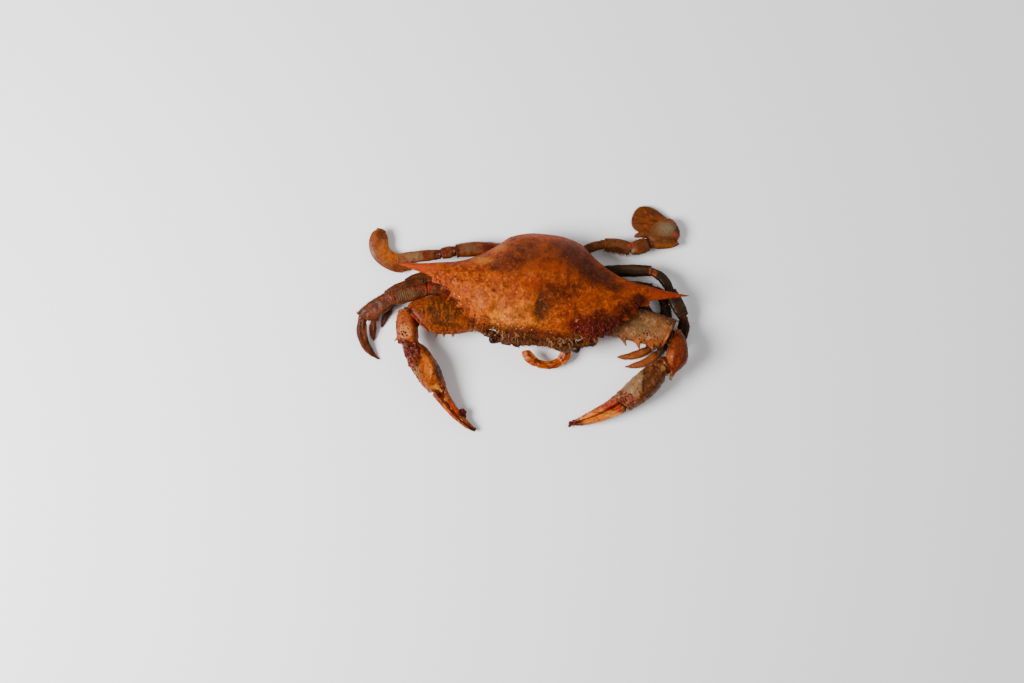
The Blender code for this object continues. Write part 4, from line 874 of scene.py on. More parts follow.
def shellOver(x, v):
    # top of the shell at x and share v from its rear edge to its front edge:
    # y = rear - span v, z = rear height to front height, plus dome height times the dome's profile,
    # plus relief, grain and rim; close to the front edge each tooth pulls the point to its tip
    blend = shellBlend
    ax, side = np.abs(x), np.sign(x)
    rearY, frontY, rearZ, frontZ, dome, _ = shellBase(x)
    pull = np.clip((v - blend["toothStart"]) / blend["toothLength"], 0, 1) ** blend["toothPower"]
    toothX, toothY = shellTooth(x)
    y = rearY - (rearY - frontY) * v
    z = rearZ + (frontZ - rearZ) * v + dome * curve(shell["dome"], v)
    middle = ease(v, *blend["reliefRear"]) * fade(v, *blend["reliefFront"]) * fade(ax, *blend["reliefSides"])
    z = z + shellRelief(x, y) * middle
    flat = np.stack([x, y, np.zeros(x.shape)], -1)
    body = fade(ax, *blend["bodySides"])
    grainShare = blend["grainRear"] + blend["grainFront"] * ease(-y, *blend["grainY"])
    z = z + shell["grain"] * lumps(flat, shell["grainSize"], 3) * body * grainShare * middle
    z = z + blend["wave"] * roughness(flat, blend["waveSize"], 9) * middle
    z = z + shell["rim"] * bell(v - blend["rimMiddle"], blend["rimWidth"]) * fade(ax, *blend["rimSides"])
    ridge = blend["toothRidge"] * np.abs(toothY) / blend["longTooth"]
    z = z + ridge * bell(v - blend["ridgeMiddle"], blend["ridgeWidth"]) * body
    points = np.stack([x + side * toothX * pull, y + toothY * pull, z], -1)
    points[..., 2] += crustLift(points) * fade(ax, *blend["crustSides"])
    return points


def shellUnder(x, w):
    # underside at x and share w from the front edge back to the rear edge: the edge height less a
    # depth, which is the room down to the floor times the underside's profile
    blend = shellBlend
    ax, side = np.abs(x), np.sign(x)
    rearY, frontY, rearZ, frontZ, _, floorZ = shellBase(x)
    span = rearY - frontY
    edgeZ = frontZ + (rearZ - frontZ) * w
    depth = np.minimum(edgeZ - floorZ, blend["deepest"] * span)
    toothX, toothY = shellTooth(x)
    pull = np.clip(1 - w / blend["underPull"], 0, 1) ** blend["underPower"]
    y = frontY + span * w
    z = edgeZ - depth * curve(shell["underside"], w)
    points = np.stack([x + side * toothX * pull, y + toothY * pull, z], -1)
    wall = ease(w, *blend["wallStart"]) * fade(w, *blend["wallEnd"]) * fade(ax, *blend["bodySides"])
    points[..., 1] += blend["wallLumps"] * roughness(points, blend["wallSize"], 12) * wall
    return points


def shellSurface():
    # both sheets as one closed ring at each x, from one spine's tip to the other's
    blend = shellBlend
    tip = shell["halfWidth"] - blend["tipInset"]
    x = np.linspace(-tip, tip, shell["columns"])
    v = crowd(np.linspace(0, 1, shell["overRows"]), blend["overCrowd"])
    w = np.linspace(0, 1, shell["underRows"] + 2)[1:-1] ** blend["underCrowd"]
    over = shellOver(*np.meshgrid(x, v, indexing="ij"))
    under = shellUnder(*np.meshgrid(x, w, indexing="ij"))
    return closedTube(np.concatenate([over, under], axis=1))


addPiece("shell_back", shellSurface(), "carapace", ["carapace"])
print("back shell done")


# pieces of the limbs

profiles = {
    "ischium": [(0, 0.86), (0.5, 1), (1, 0.86)],
    "merus": [(0, 0.66), (0.35, 0.93), (0.7, 1), (1, 0.76)],
    "carpus": [(0, 0.62), (0.3, 0.94), (0.7, 1), (1, 0.72)],
    "propodus": [(0, 0.64), (0.3, 0.98), (0.7, 1), (1, 0.64)],
    "dactyl": [(0, 0.72), (0.2, 1), (0.48, 0.86), (0.76, 0.6), (1, 0.13)],
    "bigMerus": [(0, 0.52), (0.13, 0.76), (0.35, 0.92), (0.6, 1), (0.82, 0.96), (0.94, 0.84), (1, 0.62)],
    "bigCarpus": [(0, 0.39), (0.2, 0.74), (0.5, 1), (0.84, 0.98), (1, 0.74)],
    "spinedCarpus": [(0, 0.4), (0.13, 0.66), (0.33, 0.88), (0.52, 1), (0.68, 0.7), (0.82, 0.3), (1, 0.07)],
    "blade": [
        (0, 0.44), (0.1, 0.85), (0.25, 0.98), (0.4, 0.95), (0.55, 0.95), (0.7, 1), (0.82, 1),
        (0.91, 0.93), (0.97, 0.76), (1, 0.5)],
    "root": [(0, 0.62), (0.4, 0.9), (1, 1)],
}
# ridges and grooves round each kind of piece: angle, spread (degrees), share of the radius
ridges = {
    "merus": [
        (90, 16, -0.07), (48, 14, 0.05), (132, 14, 0.05), (0, 20, 0.05), (180, 20, 0.05), (270, 22, -0.05)],
    "carpus": [(90, 18, -0.08), (45, 14, 0.07), (135, 14, 0.07), (270, 22, -0.05)],
    "propodus": [(90, 22, -0.09), (42, 14, 0.06), (138, 14, 0.06), (270, 22, -0.06)],
    "dactyl": [(68, 12, 0.08), (90, 10, -0.09), (112, 12, 0.08), (0, 16, 0.06), (180, 16, 0.06)],
    "bigMerus": [(70, 30, 0.04), (0, 14, 0.05), (180, 14, 0.06), (150, 16, -0.03)],
    "bigCarpus": [(60, 14, 0.05), (120, 16, 0.04), (90, 10, -0.03)],
    "spinedCarpus": [(60, 14, 0.05), (120, 16, 0.05), (90, 10, -0.03)],
    "blade": [(90, 20, 0.16), (35, 8, -0.1), (145, 8, -0.1)],
    "ischium": [(90, 20, -0.05)],
    "root": [(90, 20, 0.05)],
}
# the four pieces of a walking leg, which are also the names of their profiles
legParts = ("merus", "carpus", "propodus", "dactyl")


def walkingLeg(finish, joints, sizes, **others):
    # sizes: half width, half thickness, early bow and late bow of each piece
    pieces = [(part, part, *size) for part, size in zip(legParts, sizes)]
    return {"finish": finish, "slot": "leg", "joints": joints, "pieces": pieces, **others}


# limbs from the body outwards: joints (x, y, height); pieces (end of the node's name, profile,
# half width, half thickness, early bow, late bow)
limbs = {
    "left_front_leg": walkingLeg(
        "leftLegs",
        [(-26.9, -7.1, 8.5), (-64.6, -11.5, 13.2), (-84, -18.6, 12.5), (-100.3, -31.4, 8.2),
         (-88, -53.2, 0.8)],
        [(3.8, 2.7, 0, 0), (4.8, 2.8, 0, 0), (5.1, 2.7, 0, 0), (3.0, 2.0, -2.2, -2.4)],
        clear=1.4, arch={0: 1.4}, skew={2: 26.0}, combs={1: (15, 0.16)}),
    "left_middle_leg": walkingLeg(
        "leftLegs",
        [(-26.9, -0.7, 6.4), (-67.4, -7.2, 7.5), (-88.2, -17.3, 6.6), (-93.8, -32.3, 4.4), (-92.2, -43, 0.8)],
        [(3.4, 2.0, 0, 0), (3.6, 2.2, -0.8, -0.8), (3.4, 1.9, -0.6, -0.6), (2.1, 1.4, -0.3, -0.3)]),
    "left_rear_leg": walkingLeg(
        "leftLegs",
        [(-26.6, 6.6, 5), (-64, -2, 3), (-77.9, -8.3, 2.5), (-84.8, -22, 2.2), (-88.7, -34.8, 0.7)],
        [(3.3, 2.0, 0, 0), (3.4, 1.9, -0.4, -0.4), (2.9, 1.8, -0.5, -0.5), (2.0, 1.3, -0.3, -0.3)]),
    "right_front_leg": walkingLeg(
        "rightLegs",
        [(27, -4.2, 5.8), (56.8, -5.2, 5.1), (65.9, -16.2, 4.2), (66.3, -30.2, 3.7), (48.1, -36.7, 0.9)],
        [(3.5, 2.4, 0, 0), (3.2, 2.1, 1.0, 1.0), (2.9, 2.0, 0.1, 0.1), (2.4, 1.4, 0.8, 0.8)], clear=1.5),
    "right_middle_leg": walkingLeg(
        "rightLegs",
        [(26.6, 1.9, 5.8), (64.6, 4.5, 4.9), (72.7, -4.6, 4.5), (73.3, -30.8, 4), (53.4, -41.7, 0.9)],
        [(3.5, 2.4, 0.3, 0.3), (3.3, 2.1, 1.1, 1.1), (3.6, 2.1, 0.5, 0.5), (2.5, 1.5, 1.2, 1.2)], clear=1.4),
    "right_rear_leg": walkingLeg(
        "rightLegs",
        [(25.9, 9.4, 6.8), (62.5, 14.1, 10.1), (74.1, 3.4, 10.8), (83.3, -10.6, 9.3), (80.4, -31.5, 0.9)],
        [(3.4, 2.8, 0.3, 0.3), (2.8, 2.5, 0.9, 0.9), (3.9, 2.7, 0, 0), (3.3, 2.0, 1.2, 1.2)]),
    "left_swim_leg": {
        "finish": "leftSwim", "slot": "swim_leg",
        "joints": [(-23, 17, 7.6), (-51.5, 13, 9.3), (-59.5, 10.3, 9), (-84.6, 4.7, 8)],
        "pieces": [("merus", "merus", 4.1, 3.0, -0.5, -0.5), ("carpus", "carpus", 3.6, 2.9, 0, 0),
                   ("propodus", "propodus", 3.4, 2.2, 0, 0)]},
    "left_swim_leg/paddle": {
        "finish": "leftSwim", "slot": "swim_leg", "flat": True,
        "joints": [(-76.4, 1.2, 3), (-96.4, 21, 6.2)],
        "pieces": [("dactyl", "blade", 5.6, 1.2, 2.9, 6.0)]},
    "right_swim_leg": {
        "finish": "rightSwim", "slot": "swim_leg",
        "joints": [(18.6, 17.8, 7.4), (33.8, 27.1, 8), (49.5, 26, 7.5), (58.9, 30.2, 7)],
        "pieces": [("ischium", "ischium", 2.8, 2.4, 0.8, 0.8), ("merus", "merus", 3.9, 2.9, 0.2, 0.2),
                   ("carpus", "carpus", 4.5, 2.9, -0.2, -0.2)]},
    "left_claw": {
        "finish": "leftClaw", "slot": "claw", "clear": 2.0, "skew": {1: 24.0}, "fine": True,
        "joints": [(-26.4, -19.2, 7.8), (-35.7, -23.6, 10.4), (-69.4, -29.6, 14.8)],
        "pieces": [("ischium", "ischium", 5.5, 3.3, 0, 0), ("merus", "bigMerus", 10.9, 6.3, -0.8, -1.3)]},
    "left_claw/wrist": {
        "finish": "leftClaw", "slot": "claw", "fine": True,
        "joints": [(-75, -25, 15.2), (-71.2, -44.2, 14.2)],
        "pieces": [("carpus", "bigCarpus", 6.2, 6.4, 0, 0)]},
    "right_claw": {
        "finish": "rightClaw", "slot": "claw", "clear": 1.4, "skew": {1: -7.0}, "fine": True,
        "joints": [(26.4, -14.4, 7.8), (35.7, -17.3, 10.4), (76.3, -21.9, 14.8)],
        "pieces": [("ischium", "ischium", 5.4, 3.2, 0, 0), ("merus", "bigMerus", 9.2, 6.3, 0.8, 0.8)]},
    "right_claw/wrist": {
        "finish": "rightClaw", "slot": "claw", "fine": True,
        "joints": [(79.9, -19.6, 15.2), (78.6, -47.6, 14.2)],
        "pieces": [("carpus", "spinedCarpus", 6.2, 6.4, 1.5, 0.6)]},
    "mouth_leg": {
        "finish": "mouthLeg", "slot": "mouth",
        "joints": [(13.8, -31.2, 9.8), (17.9, -38.4, 8.2)],
        "pieces": [("root", "root", 2.2, 1.9, 0.6, 0.6)]},
}
# spines: share of the length, front (-1) or back (1) edge, reach in x and y
spines = {
    "left_claw_merus": [(0.35, -1, 0.4, -2.4), (0.6, -1, 0.6, -2.4), (0.82, -1, -0.4, -2.6)],
    "right_claw_merus": [
        (0.35, -1, 2.6, -4.4), (0.6, -1, 1.6, -4.6), (0.82, -1, 2.0, -3.4), (0.94, 1, 5.4, -1.0)],
    "left_claw_carpus": [(0.84, -1, -1.6, -2.0)],
}
# what a limb has unless it says otherwise: room left free at each joint, how far its pieces reach into
# it, rounding of the ends, the collar and groove before a joint, spines, combs and wear
limbFacts = {
    "clear": 1.2, "insert": 0.7, "endGap": 0.35, "baseCap": 1.1, "endCap": 0.7, "pointLength": 0.8,
    "collar": 0.03, "collarPlace": 0.9, "collarWidth": 0.5, "groovePlace": 2.2, "grooveWidth": 0.7,
    "fullness": 0.42, "leastBluntEnd": 0.2, "leastHeight": 0.5, "heightPower": 0.75,
    "spineFoot": 0.055, "spinePower": 1.3, "spineSharpness": 14, "spineLift": 0.6,
    "combStart": (0.1, 0.2), "combEnd": (0.8, 0.92), "wear": 0.2, "flatWear": 0.05,
    "power": 2.2, "broadPower": 2.4, "grid": (88, 44), "fineGrid": (150, 96), "crowding": 0.1,
    "flat": False, "fine": False, "arch": {}, "skew": {}, "combs": {},
}


def middleLine(start, end, bows, arch, s):
    # start to end at share s, moved to the left of the run by 6.75 s (1 - s) (early (1 - s) + late s),
    # and up by arch 4 s (1 - s)
    run = unit((end - start)[:2])
    left = np.array([-run[1], run[0], 0.0])
    reach = 6.75 * s * (1 - s) * (bows[0] * (1 - s) + bows[1] * s)
    lift = 4 * arch * s * (1 - s)
    return start + (end - start) * s[:, None] + left * reach[:, None] + up * lift[:, None]


def acrossLine(line):
    # unit vectors across the line, seen from above, to its left
    along = unit(np.gradient(line[:, :2], axis=0))
    return np.stack([-along[:, 1], along[:, 0], np.zeros(len(line))], -1)


def roundSection(middle, across, width, height, power, ribs, sides):
    # superellipse ring at each point of the middle line: across * width * cos^(2/power) and
    # up * height * sin^(2/power), both times 1 + the ribs' bells round the ring
    angle = ringAngles(sides)
    flatTerm, upTerm = superellipse(angle, power)
    swell = np.ones(sides)
    for degrees, spread, share in ribs:
        gap = (np.degrees(angle) - degrees + 180) % 360 - 180
        swell = swell + share * bell(gap, spread)
    ring = across[:, None, :] * (width[:, None] * flatTerm * swell)[..., None]
    ring = ring + up * (height[:, None] * upTerm * swell)[..., None]
    return middle[:, None, :] + ring, angle


def capShare(distance, length):
    # rounding of an end: (1 - (1 - d / length)^2.4)^(1 / 2.4) at distance d from it
    d = np.clip(distance / length, 0, 1)
    return (1 - (1 - d) ** 2.4) ** (1 / 2.4)


def bothCaps(fromStart, fromEnd, length):
    return capShare(fromStart, length) * capShare(fromEnd, length)


# how a worn skin is made of low waves and fine grain, as shares of the wear
weatherFacts = {"waves": 0.8, "waveSize": 3.4, "grain": 0.4, "grainSize": 0.9}


def weather(points, middle, amount, seed):
    # moves each point away from its middle by low waves, fine grain and any crust
    facts = weatherFacts
    aim = unit(points - middle[:, None, :])
    waves = facts["waves"] * roughness(points, facts["waveSize"], seed)
    lift = amount * (waves + facts["grain"] * lumps(points, facts["grainSize"], seed + 7))
    return points + aim * (lift + crustLift(points))[..., None]


surfaces = {}      # node name -> its rows of points, for what grows or lies on it


def wornTube(line, width, height, facts, seed, ribs=()):
    # a weathered tube of round sections along a middle line
    points, _ = roundSection(line, acrossLine(line), width, height, facts["power"], ribs, facts["sides"])
    return closedTube(weather(points, line, facts["wear"], seed))


def turnedAcross(across, turn):
    # turns each vector round the upright axis
    c, s = np.cos(turn), np.sin(turn)
    x, y, z = across.T
    return np.stack([x * c - y * s, x * s + y * c, z], -1)


def addSpine(points, s, across, angle, spine, facts):
    # pulls the skin near the spine's root on its edge out to the spine's tip
    share, edge, dx, dy = spine
    tipAngle = 0.0 if across[np.argmin(np.abs(s - share)), 1] * edge > 0 else math.pi
    foot = np.clip(1 - np.abs(s - share) / facts["spineFoot"], 0, 1) ** facts["spinePower"]
    facing = np.clip(np.cos(angle - tipAngle), 0, 1) ** facts["spineSharpness"]
    return points + (foot[:, None] * facing)[..., None] * np.array([dx, dy, facts["spineLift"]])


def limbSurface(limb, index, name):
    # the limb's middle line from joint to joint, with a section at each share s of its length
    facts = {**limbFacts, **limb}
    flat, fine, clear = facts["flat"], facts["fine"], facts["clear"]
    start, end = np.array(limb["joints"][index], float), np.array(limb["joints"][index + 1], float)
    _, profileName, halfWidth, halfHeight, early, late = limb["pieces"][index]
    profile = profiles[profileName]
    along = unit(end - start)
    start = start + along * clear
    blunt = profile[-1][1] > facts["leastBluntEnd"]
    if blunt:
        end = end - along * clear
    length = np.linalg.norm(end - start)
    rows, sides = facts["fineGrid"] if fine else facts["grid"]
    first = -(clear + facts["insert"]) / length
    last = 1 + ((clear - facts["endGap"]) / length if blunt else 0.0)
    s = first + (last - first) * crowd(np.linspace(0, 1, rows), facts["crowding"])
    size = curve(profile, s) ** (facts["fullness"] if blunt and not flat else 1.0)
    fromEnd = (last - s) * length
    cap = capShare((s - first) * length, facts["baseCap"])
    cap = cap * capShare(fromEnd, facts["endCap"] if blunt else facts["pointLength"])
    if blunt and not flat:
        rise = bell(fromEnd - facts["collarPlace"], facts["collarWidth"])
        dip = bell(fromEnd - facts["groovePlace"], facts["grooveWidth"])
        cap = cap * (1 + facts["collar"] * (rise - dip))
    height = np.maximum(facts["leastHeight"], halfHeight * size ** facts["heightPower"]) * cap
    line = middleLine(start, end, (early, late), facts["arch"].get(index, 0.0), s)
    turn = np.radians(facts["skew"].get(index, 0.0)) * np.clip(s, 0, 1) ** 2
    across = turnedAcross(acrossLine(line), turn)
    power = facts["broadPower"] if fine or flat else facts["power"]
    width = halfWidth * size * cap
    points, angle = roundSection(line, across, width, height, power, ridges[profileName], sides)
    for spine in spines.get(name, []):
        points = addSpine(points, s, across, angle, spine, facts)
    if index in facts["combs"]:
        count, lift = facts["combs"][index]
        wave = np.sin(2 * math.pi * count * s) * ease(s, *facts["combStart"]) * fade(s, *facts["combEnd"])
        points[..., 2] += lift * wave[:, None] * np.clip(np.sin(angle), 0, 1)
    surfaces[name] = weather(points, line, facts["flatWear"] if flat else facts["wear"], 11 + index)
    return closedTube(surfaces[name])


def buildLimbs():
    for limbName, limb in limbs.items():
        for index, part in enumerate(limb["pieces"]):
            node = limbName.split("/")[0] + "_" + part[0]
            addPiece(node + "_shell", limbSurface(limb, index, node), limb["finish"], [node])


# soft skins: how far they reach into the pieces, how they bend, their share of the pieces' size, folds
skinFacts = {
    "overlap": 1.6, "bend": 0.35, "share": 0.82, "cap": 1.2, "folds": 0.06, "foldRate": 9, "rows": 24,
    "power": 2.0, "sides": 28, "wear": 0.1,
}


def jointSkins():
    # at each bend a soft plug: a short tube from inside one piece to inside the next
    facts = skinFacts
    shapes = {}
    for limb in limbs.values():
        for index in range(len(limb["pieces"]) - 1):
            last, joint, coming = (np.array(place, float) for place in limb["joints"][index:index + 3])
            before, after = unit(joint - last), unit(coming - joint)
            reach = limb.get("clear", limbFacts["clear"]) + facts["overlap"]
            t = np.linspace(-1, 1, facts["rows"])
            line = joint + np.where(t[:, None] < 0, before, after) * (t * reach)[:, None]
            line = line + (after - before) * facts["bend"] * (1 - t[:, None] ** 2)
            first, second = limb["pieces"][index:index + 2]
            wide = facts["share"] * min(first[2] * profiles[first[1]][-1][1], second[2])
            thick = facts["share"] * min(first[3], second[3])
            folds = 1 + facts["folds"] * np.cos(facts["foldRate"] * t)
            size = capShare((1 - np.abs(t)) * reach, facts["cap"]) * folds
            tube = wornTube(line, wide * size, thick * size, facts, 70 + index)
            shapes.setdefault(limb["slot"], []).append(tube)
    for slotName, tubes in shapes.items():
        addPiece(slotName + "_joint_skins", joined(tubes), "skin")


# soft plugs between chains that don't share a joint: slot, start, end, half width, half thickness
plugs = [
    ("claw", (-66.5, -29, 12.6), (-75, -30, 13.0), 5.4, 4.4),
    ("claw", (-72, -40.5, 12.6), (-68.4, -48, 12.6), 4.6, 4.8),
    ("claw", (72, -22, 12.6), (80.5, -24.5, 13.0), 4.6, 4.4),
    ("claw", (78, -37, 12.4), (69.5, -45, 12.4), 5.0, 4.6),
    ("swim_leg", (-83, 5, 6.6), (-77.6, 2.6, 3.6), 2.4, 1.4),
    ("swim_leg", (56.5, 29.2, 6.4), (62.5, 32, 5.8), 3.2, 1.4),
]
# rounding of the plugs' ends, their folds, section and wear
plugFacts = {
    "cap": 2.0, "folds": 0.05, "foldRate": 24, "rows": 40, "power": 2.2, "sides": 36, "wear": 0.3, "seed": 75,
}


def chainPlugs():
    facts = plugFacts
    shapes = {}
    for slotName, start, end, wide, thick in plugs:
        s = np.linspace(0, 1, facts["rows"])
        line = middleLine(np.array(start, float), np.array(end, float), (0, 0), 0.0, s)
        length = np.linalg.norm(np.array(end) - np.array(start))
        folds = 1 + facts["folds"] * np.cos(facts["foldRate"] * s)
        size = bothCaps(s * length, (1 - s) * length, facts["cap"]) * folds
        tube = wornTube(line, wide * size, thick * size, facts, facts["seed"])
        shapes.setdefault(slotName, []).append(tube)
    for slotName, tubes in shapes.items():
        addPiece(slotName + "_chain_skins", joined(tubes), "skin")


# the right swim leg's broad plates: the middle they swell from, their outline, lowest and highest
# point, veins (two ends, spread, height) and how far the rim is raised
plates = {
    "right_swim_leg_propodus": {
        "finish": "rightSwim", "middle": (65.5, 37.0), "heights": (4.2, 7.8), "rim": 0.3,
        "outline": [
            (50.2, 33.5), (51.0, 35.4), (53.4, 36.6), (56.0, 37.4), (58.2, 39.7), (61.5, 42.8), (65.6, 45.4),
            (69.9, 46.6), (72.8, 45.0), (75.1, 42.1), (76.4, 39.0), (76.3, 36.0), (75.3, 33.9), (76.5, 32.3),
            (75.1, 30.7), (71.6, 29.1), (66.0, 27.9), (62.0, 28.2), (60.4, 30.4), (58.9, 32.3), (56.9, 33.4),
            (54.2, 33.4), (51.8, 33.0)],
        "veins": [
            ((61, 31.5), (75.2, 33.8), 0.5, -0.7), ((61, 31), (72, 41), 2.0, 0.35),
            ((58, 34.5), (66, 43), 0.6, -0.25), ((51, 34.5), (58, 35.5), 1.2, 0.3),
            ((62, 29.6), (75, 31.4), 1.0, -0.4)]},
    "right_swim_leg_dactyl": {
        "finish": "paddle", "middle": (59.0, 44.5), "heights": (1.2, 3.7), "rim": 0.35,
        "outline": [
            (48.0, 42.2), (48.6, 47.5), (51.1, 51.5), (54.2, 52.7), (57.9, 52.6), (62.5, 50.9), (66.4, 48.4),
            (69.4, 46.4), (69.8, 43.5), (67.0, 40.8), (62.5, 38.6), (57.5, 36.9), (53.4, 37.0), (49.9, 38.7)],
        "veins": [
            ((68, 43), (50, 46), 0.7, 0.3), ((66, 44.5), (54, 50.5), 0.6, 0.22),
            ((64, 41.5), (50, 41.5), 0.6, 0.22), ((58, 45), (55, 51), 0.4, 0.15)]},
}


def curvedOutline(outline, steps):
    # smooth closed curve through the points, with this many steps each:
    # p1 + t/2 (p2 - p0 + t (2 p0 - 5 p1 + 4 p2 - p3 + t (3 p1 - p0 - 3 p2 + p3)))
    p1 = np.repeat(np.array(outline, float), steps, axis=0)
    p0, p2, p3 = (np.repeat(np.roll(outline, k, axis=0), steps, axis=0) for k in (1, -1, -2))
    t = np.tile(np.arange(steps) / steps, len(outline))[:, None]
    return p1 + t / 2 * (p2 - p0 + t * (2 * p0 - 5 * p1 + 4 * p2 - p3 + t * (3 * p1 - p0 - 3 * p2 + p3)))


# the plates' rings: (height share, size) from bottom to top, and how finely they are drawn
plateFacts = {
    "levels": [(0, 0.86), (0.2, 0.97), (0.4, 1), (0.62, 0.96), (0.86, 0.8), (1, 0.45)],
    "outlineSteps": 9, "sideRows": 46, "closingRows": 30, "closing": (0.95, 0.02), "upperFrom": 52,
    "wear": 0.12, "wearSize": 2.4, "rimPlace": 0.93, "rimWidth": 0.04,
}


def plateStack(plate, seed):
    # the outline stacked by the levels; the bottom and the top ring are also drawn in to close it
    facts = plateFacts
    middle = np.array(plate["middle"])
    low, high = plate["heights"]
    outline = curvedOutline(plate["outline"], facts["outlineSteps"]) - middle
    shares = np.linspace(0, 1, len(facts["levels"]))
    rise, size = (curve([(share, level[k]) for share, level in zip(shares, facts["levels"])],
                        np.linspace(0, 1, facts["sideRows"])) for k in (0, 1))
    inwards = np.linspace(*facts["closing"], facts["closingRows"])
    size = np.concatenate([facts["levels"][0][1] * inwards[::-1], size, facts["levels"][-1][1] * inwards])
    rise = np.concatenate([np.zeros(len(inwards)), rise, np.ones(len(inwards))])
    flat = middle + outline * size[:, None, None]
    x, y = flat[..., 0], flat[..., 1]
    upper = (np.arange(len(size)) > facts["upperFrom"])[:, None]
    z = low + (high - low) * rise[:, None] + np.zeros(x.shape)
    veins = sum(height * bell(distanceToLine(x, y, start, end), spread)
                for start, end, spread, height in plate["veins"])
    rough = facts["wear"] * roughness(np.stack([x, y, z], -1), facts["wearSize"], seed)
    rim = plate["rim"] * bell(size - facts["rimPlace"], facts["rimWidth"])[:, None]
    return np.stack([x, y, z + upper * (veins + rough + rim)], -1)


def buildPlates():
    for seed, (node, plate) in enumerate(plates.items()):
        surfaces[node] = plateStack(plate, 44 + seed)
        addPiece(node + "_shell", closedTube(surfaces[node]), plate["finish"], [node])


buildLimbs()
jointSkins()
chainPlugs()
buildPlates()
print("limbs done")


# the claws' palms and fingers

claws = {
    "left_claw": {
        "finish": "leftClaw", "wrist": (-69.3, -45.4, 13.6), "tip": (-28, -88, 2.6), "bows": (0, -3.3),
        "reach": 2.8, "palmWidth": 7.0, "fingerWidth": 4.0, "thickness": 6.8, "movingSide": 1},
    "right_claw": {
        "finish": "rightClaw", "wrist": (71.9, -42.2, 13.6), "tip": (26.2, -77.8, 2.6), "bows": (2.85, 2.85),
        "reach": 4.0, "palmWidth": 7.4, "fingerWidth": 5.4, "thickness": 7.0, "movingSide": -1},
}
clawFacts = {
    "palm": [(0, 0.6), (0.05, 0.85), (0.14, 0.98), (0.23, 1), (0.31, 0.98), (0.385, 0.89)],
    "palmEnd": 0.46,
    "finger": [(0.55, 1), (0.645, 0.86), (0.74, 0.76), (0.835, 0.62), (0.92, 0.43), (1, 0.19)],
    "fingerThickness": 0.62, "leastThickness": 0.28, "gap": 0.1, "movingRoot": 0.475, "cut": (0.45, 0.5),
    "palmCap": 3.0, "fingerCap": 2.6, "tipCap": 1.0, "power": 2.3, "wear": 0.3, "rows": 210, "sides": 96,
    "crowding": 0.06, "swell": 0.05, "swellSpread": 0.02, "swellShift": 0.005,
    "joint": {"groove": 0.8, "behind": 0.03, "spread": 0.014},
    "palmRidges": [(60, 14, 0.05), (120, 14, 0.05), (90, 12, -0.03), (0, 16, 0.03), (180, 16, 0.03)],
    "fingerRidges": [(90, 12, 0.1), (58, 10, -0.1), (122, 10, -0.1), (30, 10, 0.06), (150, 10, 0.06)],
}


def clawOutline(claw):
    # half width and half thickness at each share of the length, through the palm and the fingers
    facts = clawFacts
    palmWidth, fingerWidth, thickness = claw["palmWidth"], claw["fingerWidth"], claw["thickness"]
    thin, endShare = facts["fingerThickness"], facts["palm"][-1][1]
    widths = [(s, palmWidth * w) for s, w in facts["palm"]]
    heights = [(s, thickness * w) for s, w in facts["palm"]]
    widths.append((facts["palmEnd"], (endShare * palmWidth + fingerWidth) / 2))
    heights.append((facts["palmEnd"], (endShare + thin) / 2 * thickness))
    widths += [(s, fingerWidth * w) for s, w in facts["finger"]]
    heights += [(s, thickness * thin * max(w, facts["leastThickness"])) for s, w in facts["finger"]]
    return widths, heights


def clawSurface(name, claw, moving):
    # the claw's whole section at share s, of which a finger takes the half on its own side; the
    # fixed finger's cut opens smoothly where the palm ends
    facts = clawFacts
    widths, heights = clawOutline(claw)
    start, end = np.array(claw["wrist"]), np.array(claw["tip"])
    length = np.linalg.norm(end - start)
    first, last = (facts["movingRoot"] if moving else -claw["reach"] / length), 1.0
    s = first + (last - first) * crowd(np.linspace(0, 1, facts["rows"]), facts["crowding"])
    line = middleLine(start, end, claw["bows"], 0.0, s)
    across = acrossLine(line)
    cap = capShare((s - first) * length, facts["fingerCap"] if moving else facts["palmCap"])
    cap = cap * capShare((last - s) * length, facts["tipCap"])
    width, height = curve(widths, s), curve(heights, s) * cap
    # half the gap, as a share of the section
    half = 0.5 * facts["gap"] / (2 * width)
    opening = np.ones(len(s)) if moving else ease(s, *facts["cut"])
    takesFirst = claw["movingSide"] > 0 if moving else claw["movingSide"] < 0
    # shares across the section, from its right edge (0) to its left edge (1)
    low = np.zeros(len(s)) if takesFirst else opening * (0.5 + half)
    high = 1 - opening * (0.5 + half) if takesFirst else np.ones(len(s))
    middle = line + across * (width * (low + high - 1))[:, None]
    ribs = facts["fingerRidges"] if moving else facts["palmRidges"]
    width = width * (high - low) * cap
    points, _ = roundSection(middle, across, width, height, facts["power"], ribs, facts["sides"])
    if not moving:
        # a swelling where the palm ends, and a groove behind it
        joint = facts["joint"]
        swelling = bell(s - facts["palmEnd"] + facts["swellShift"], facts["swellSpread"])
        dip = joint["groove"] * bell(s - facts["palmEnd"] - joint["behind"], joint["spread"])
        points = points + (points - middle[:, None, :]) * (facts["swell"] * (swelling - dip))[:, None, None]
    points = weather(points, middle, facts["wear"], 23)
    surfaces[name + ("_finger" if moving else "_palm")] = points
    return closedTube(points)


def buildClaws():
    for name, claw in claws.items():
        for part, slotName in (("palm", "claw"), ("finger", "claw_finger")):
            node = name + "_" + part
            surface = clawSurface(name, claw, part == "finger")
            addPiece(node + "_shell", surface, claw["finish"], [node])


buildClaws()
print("claws done")


# mouth leg, mouth plates and eyes

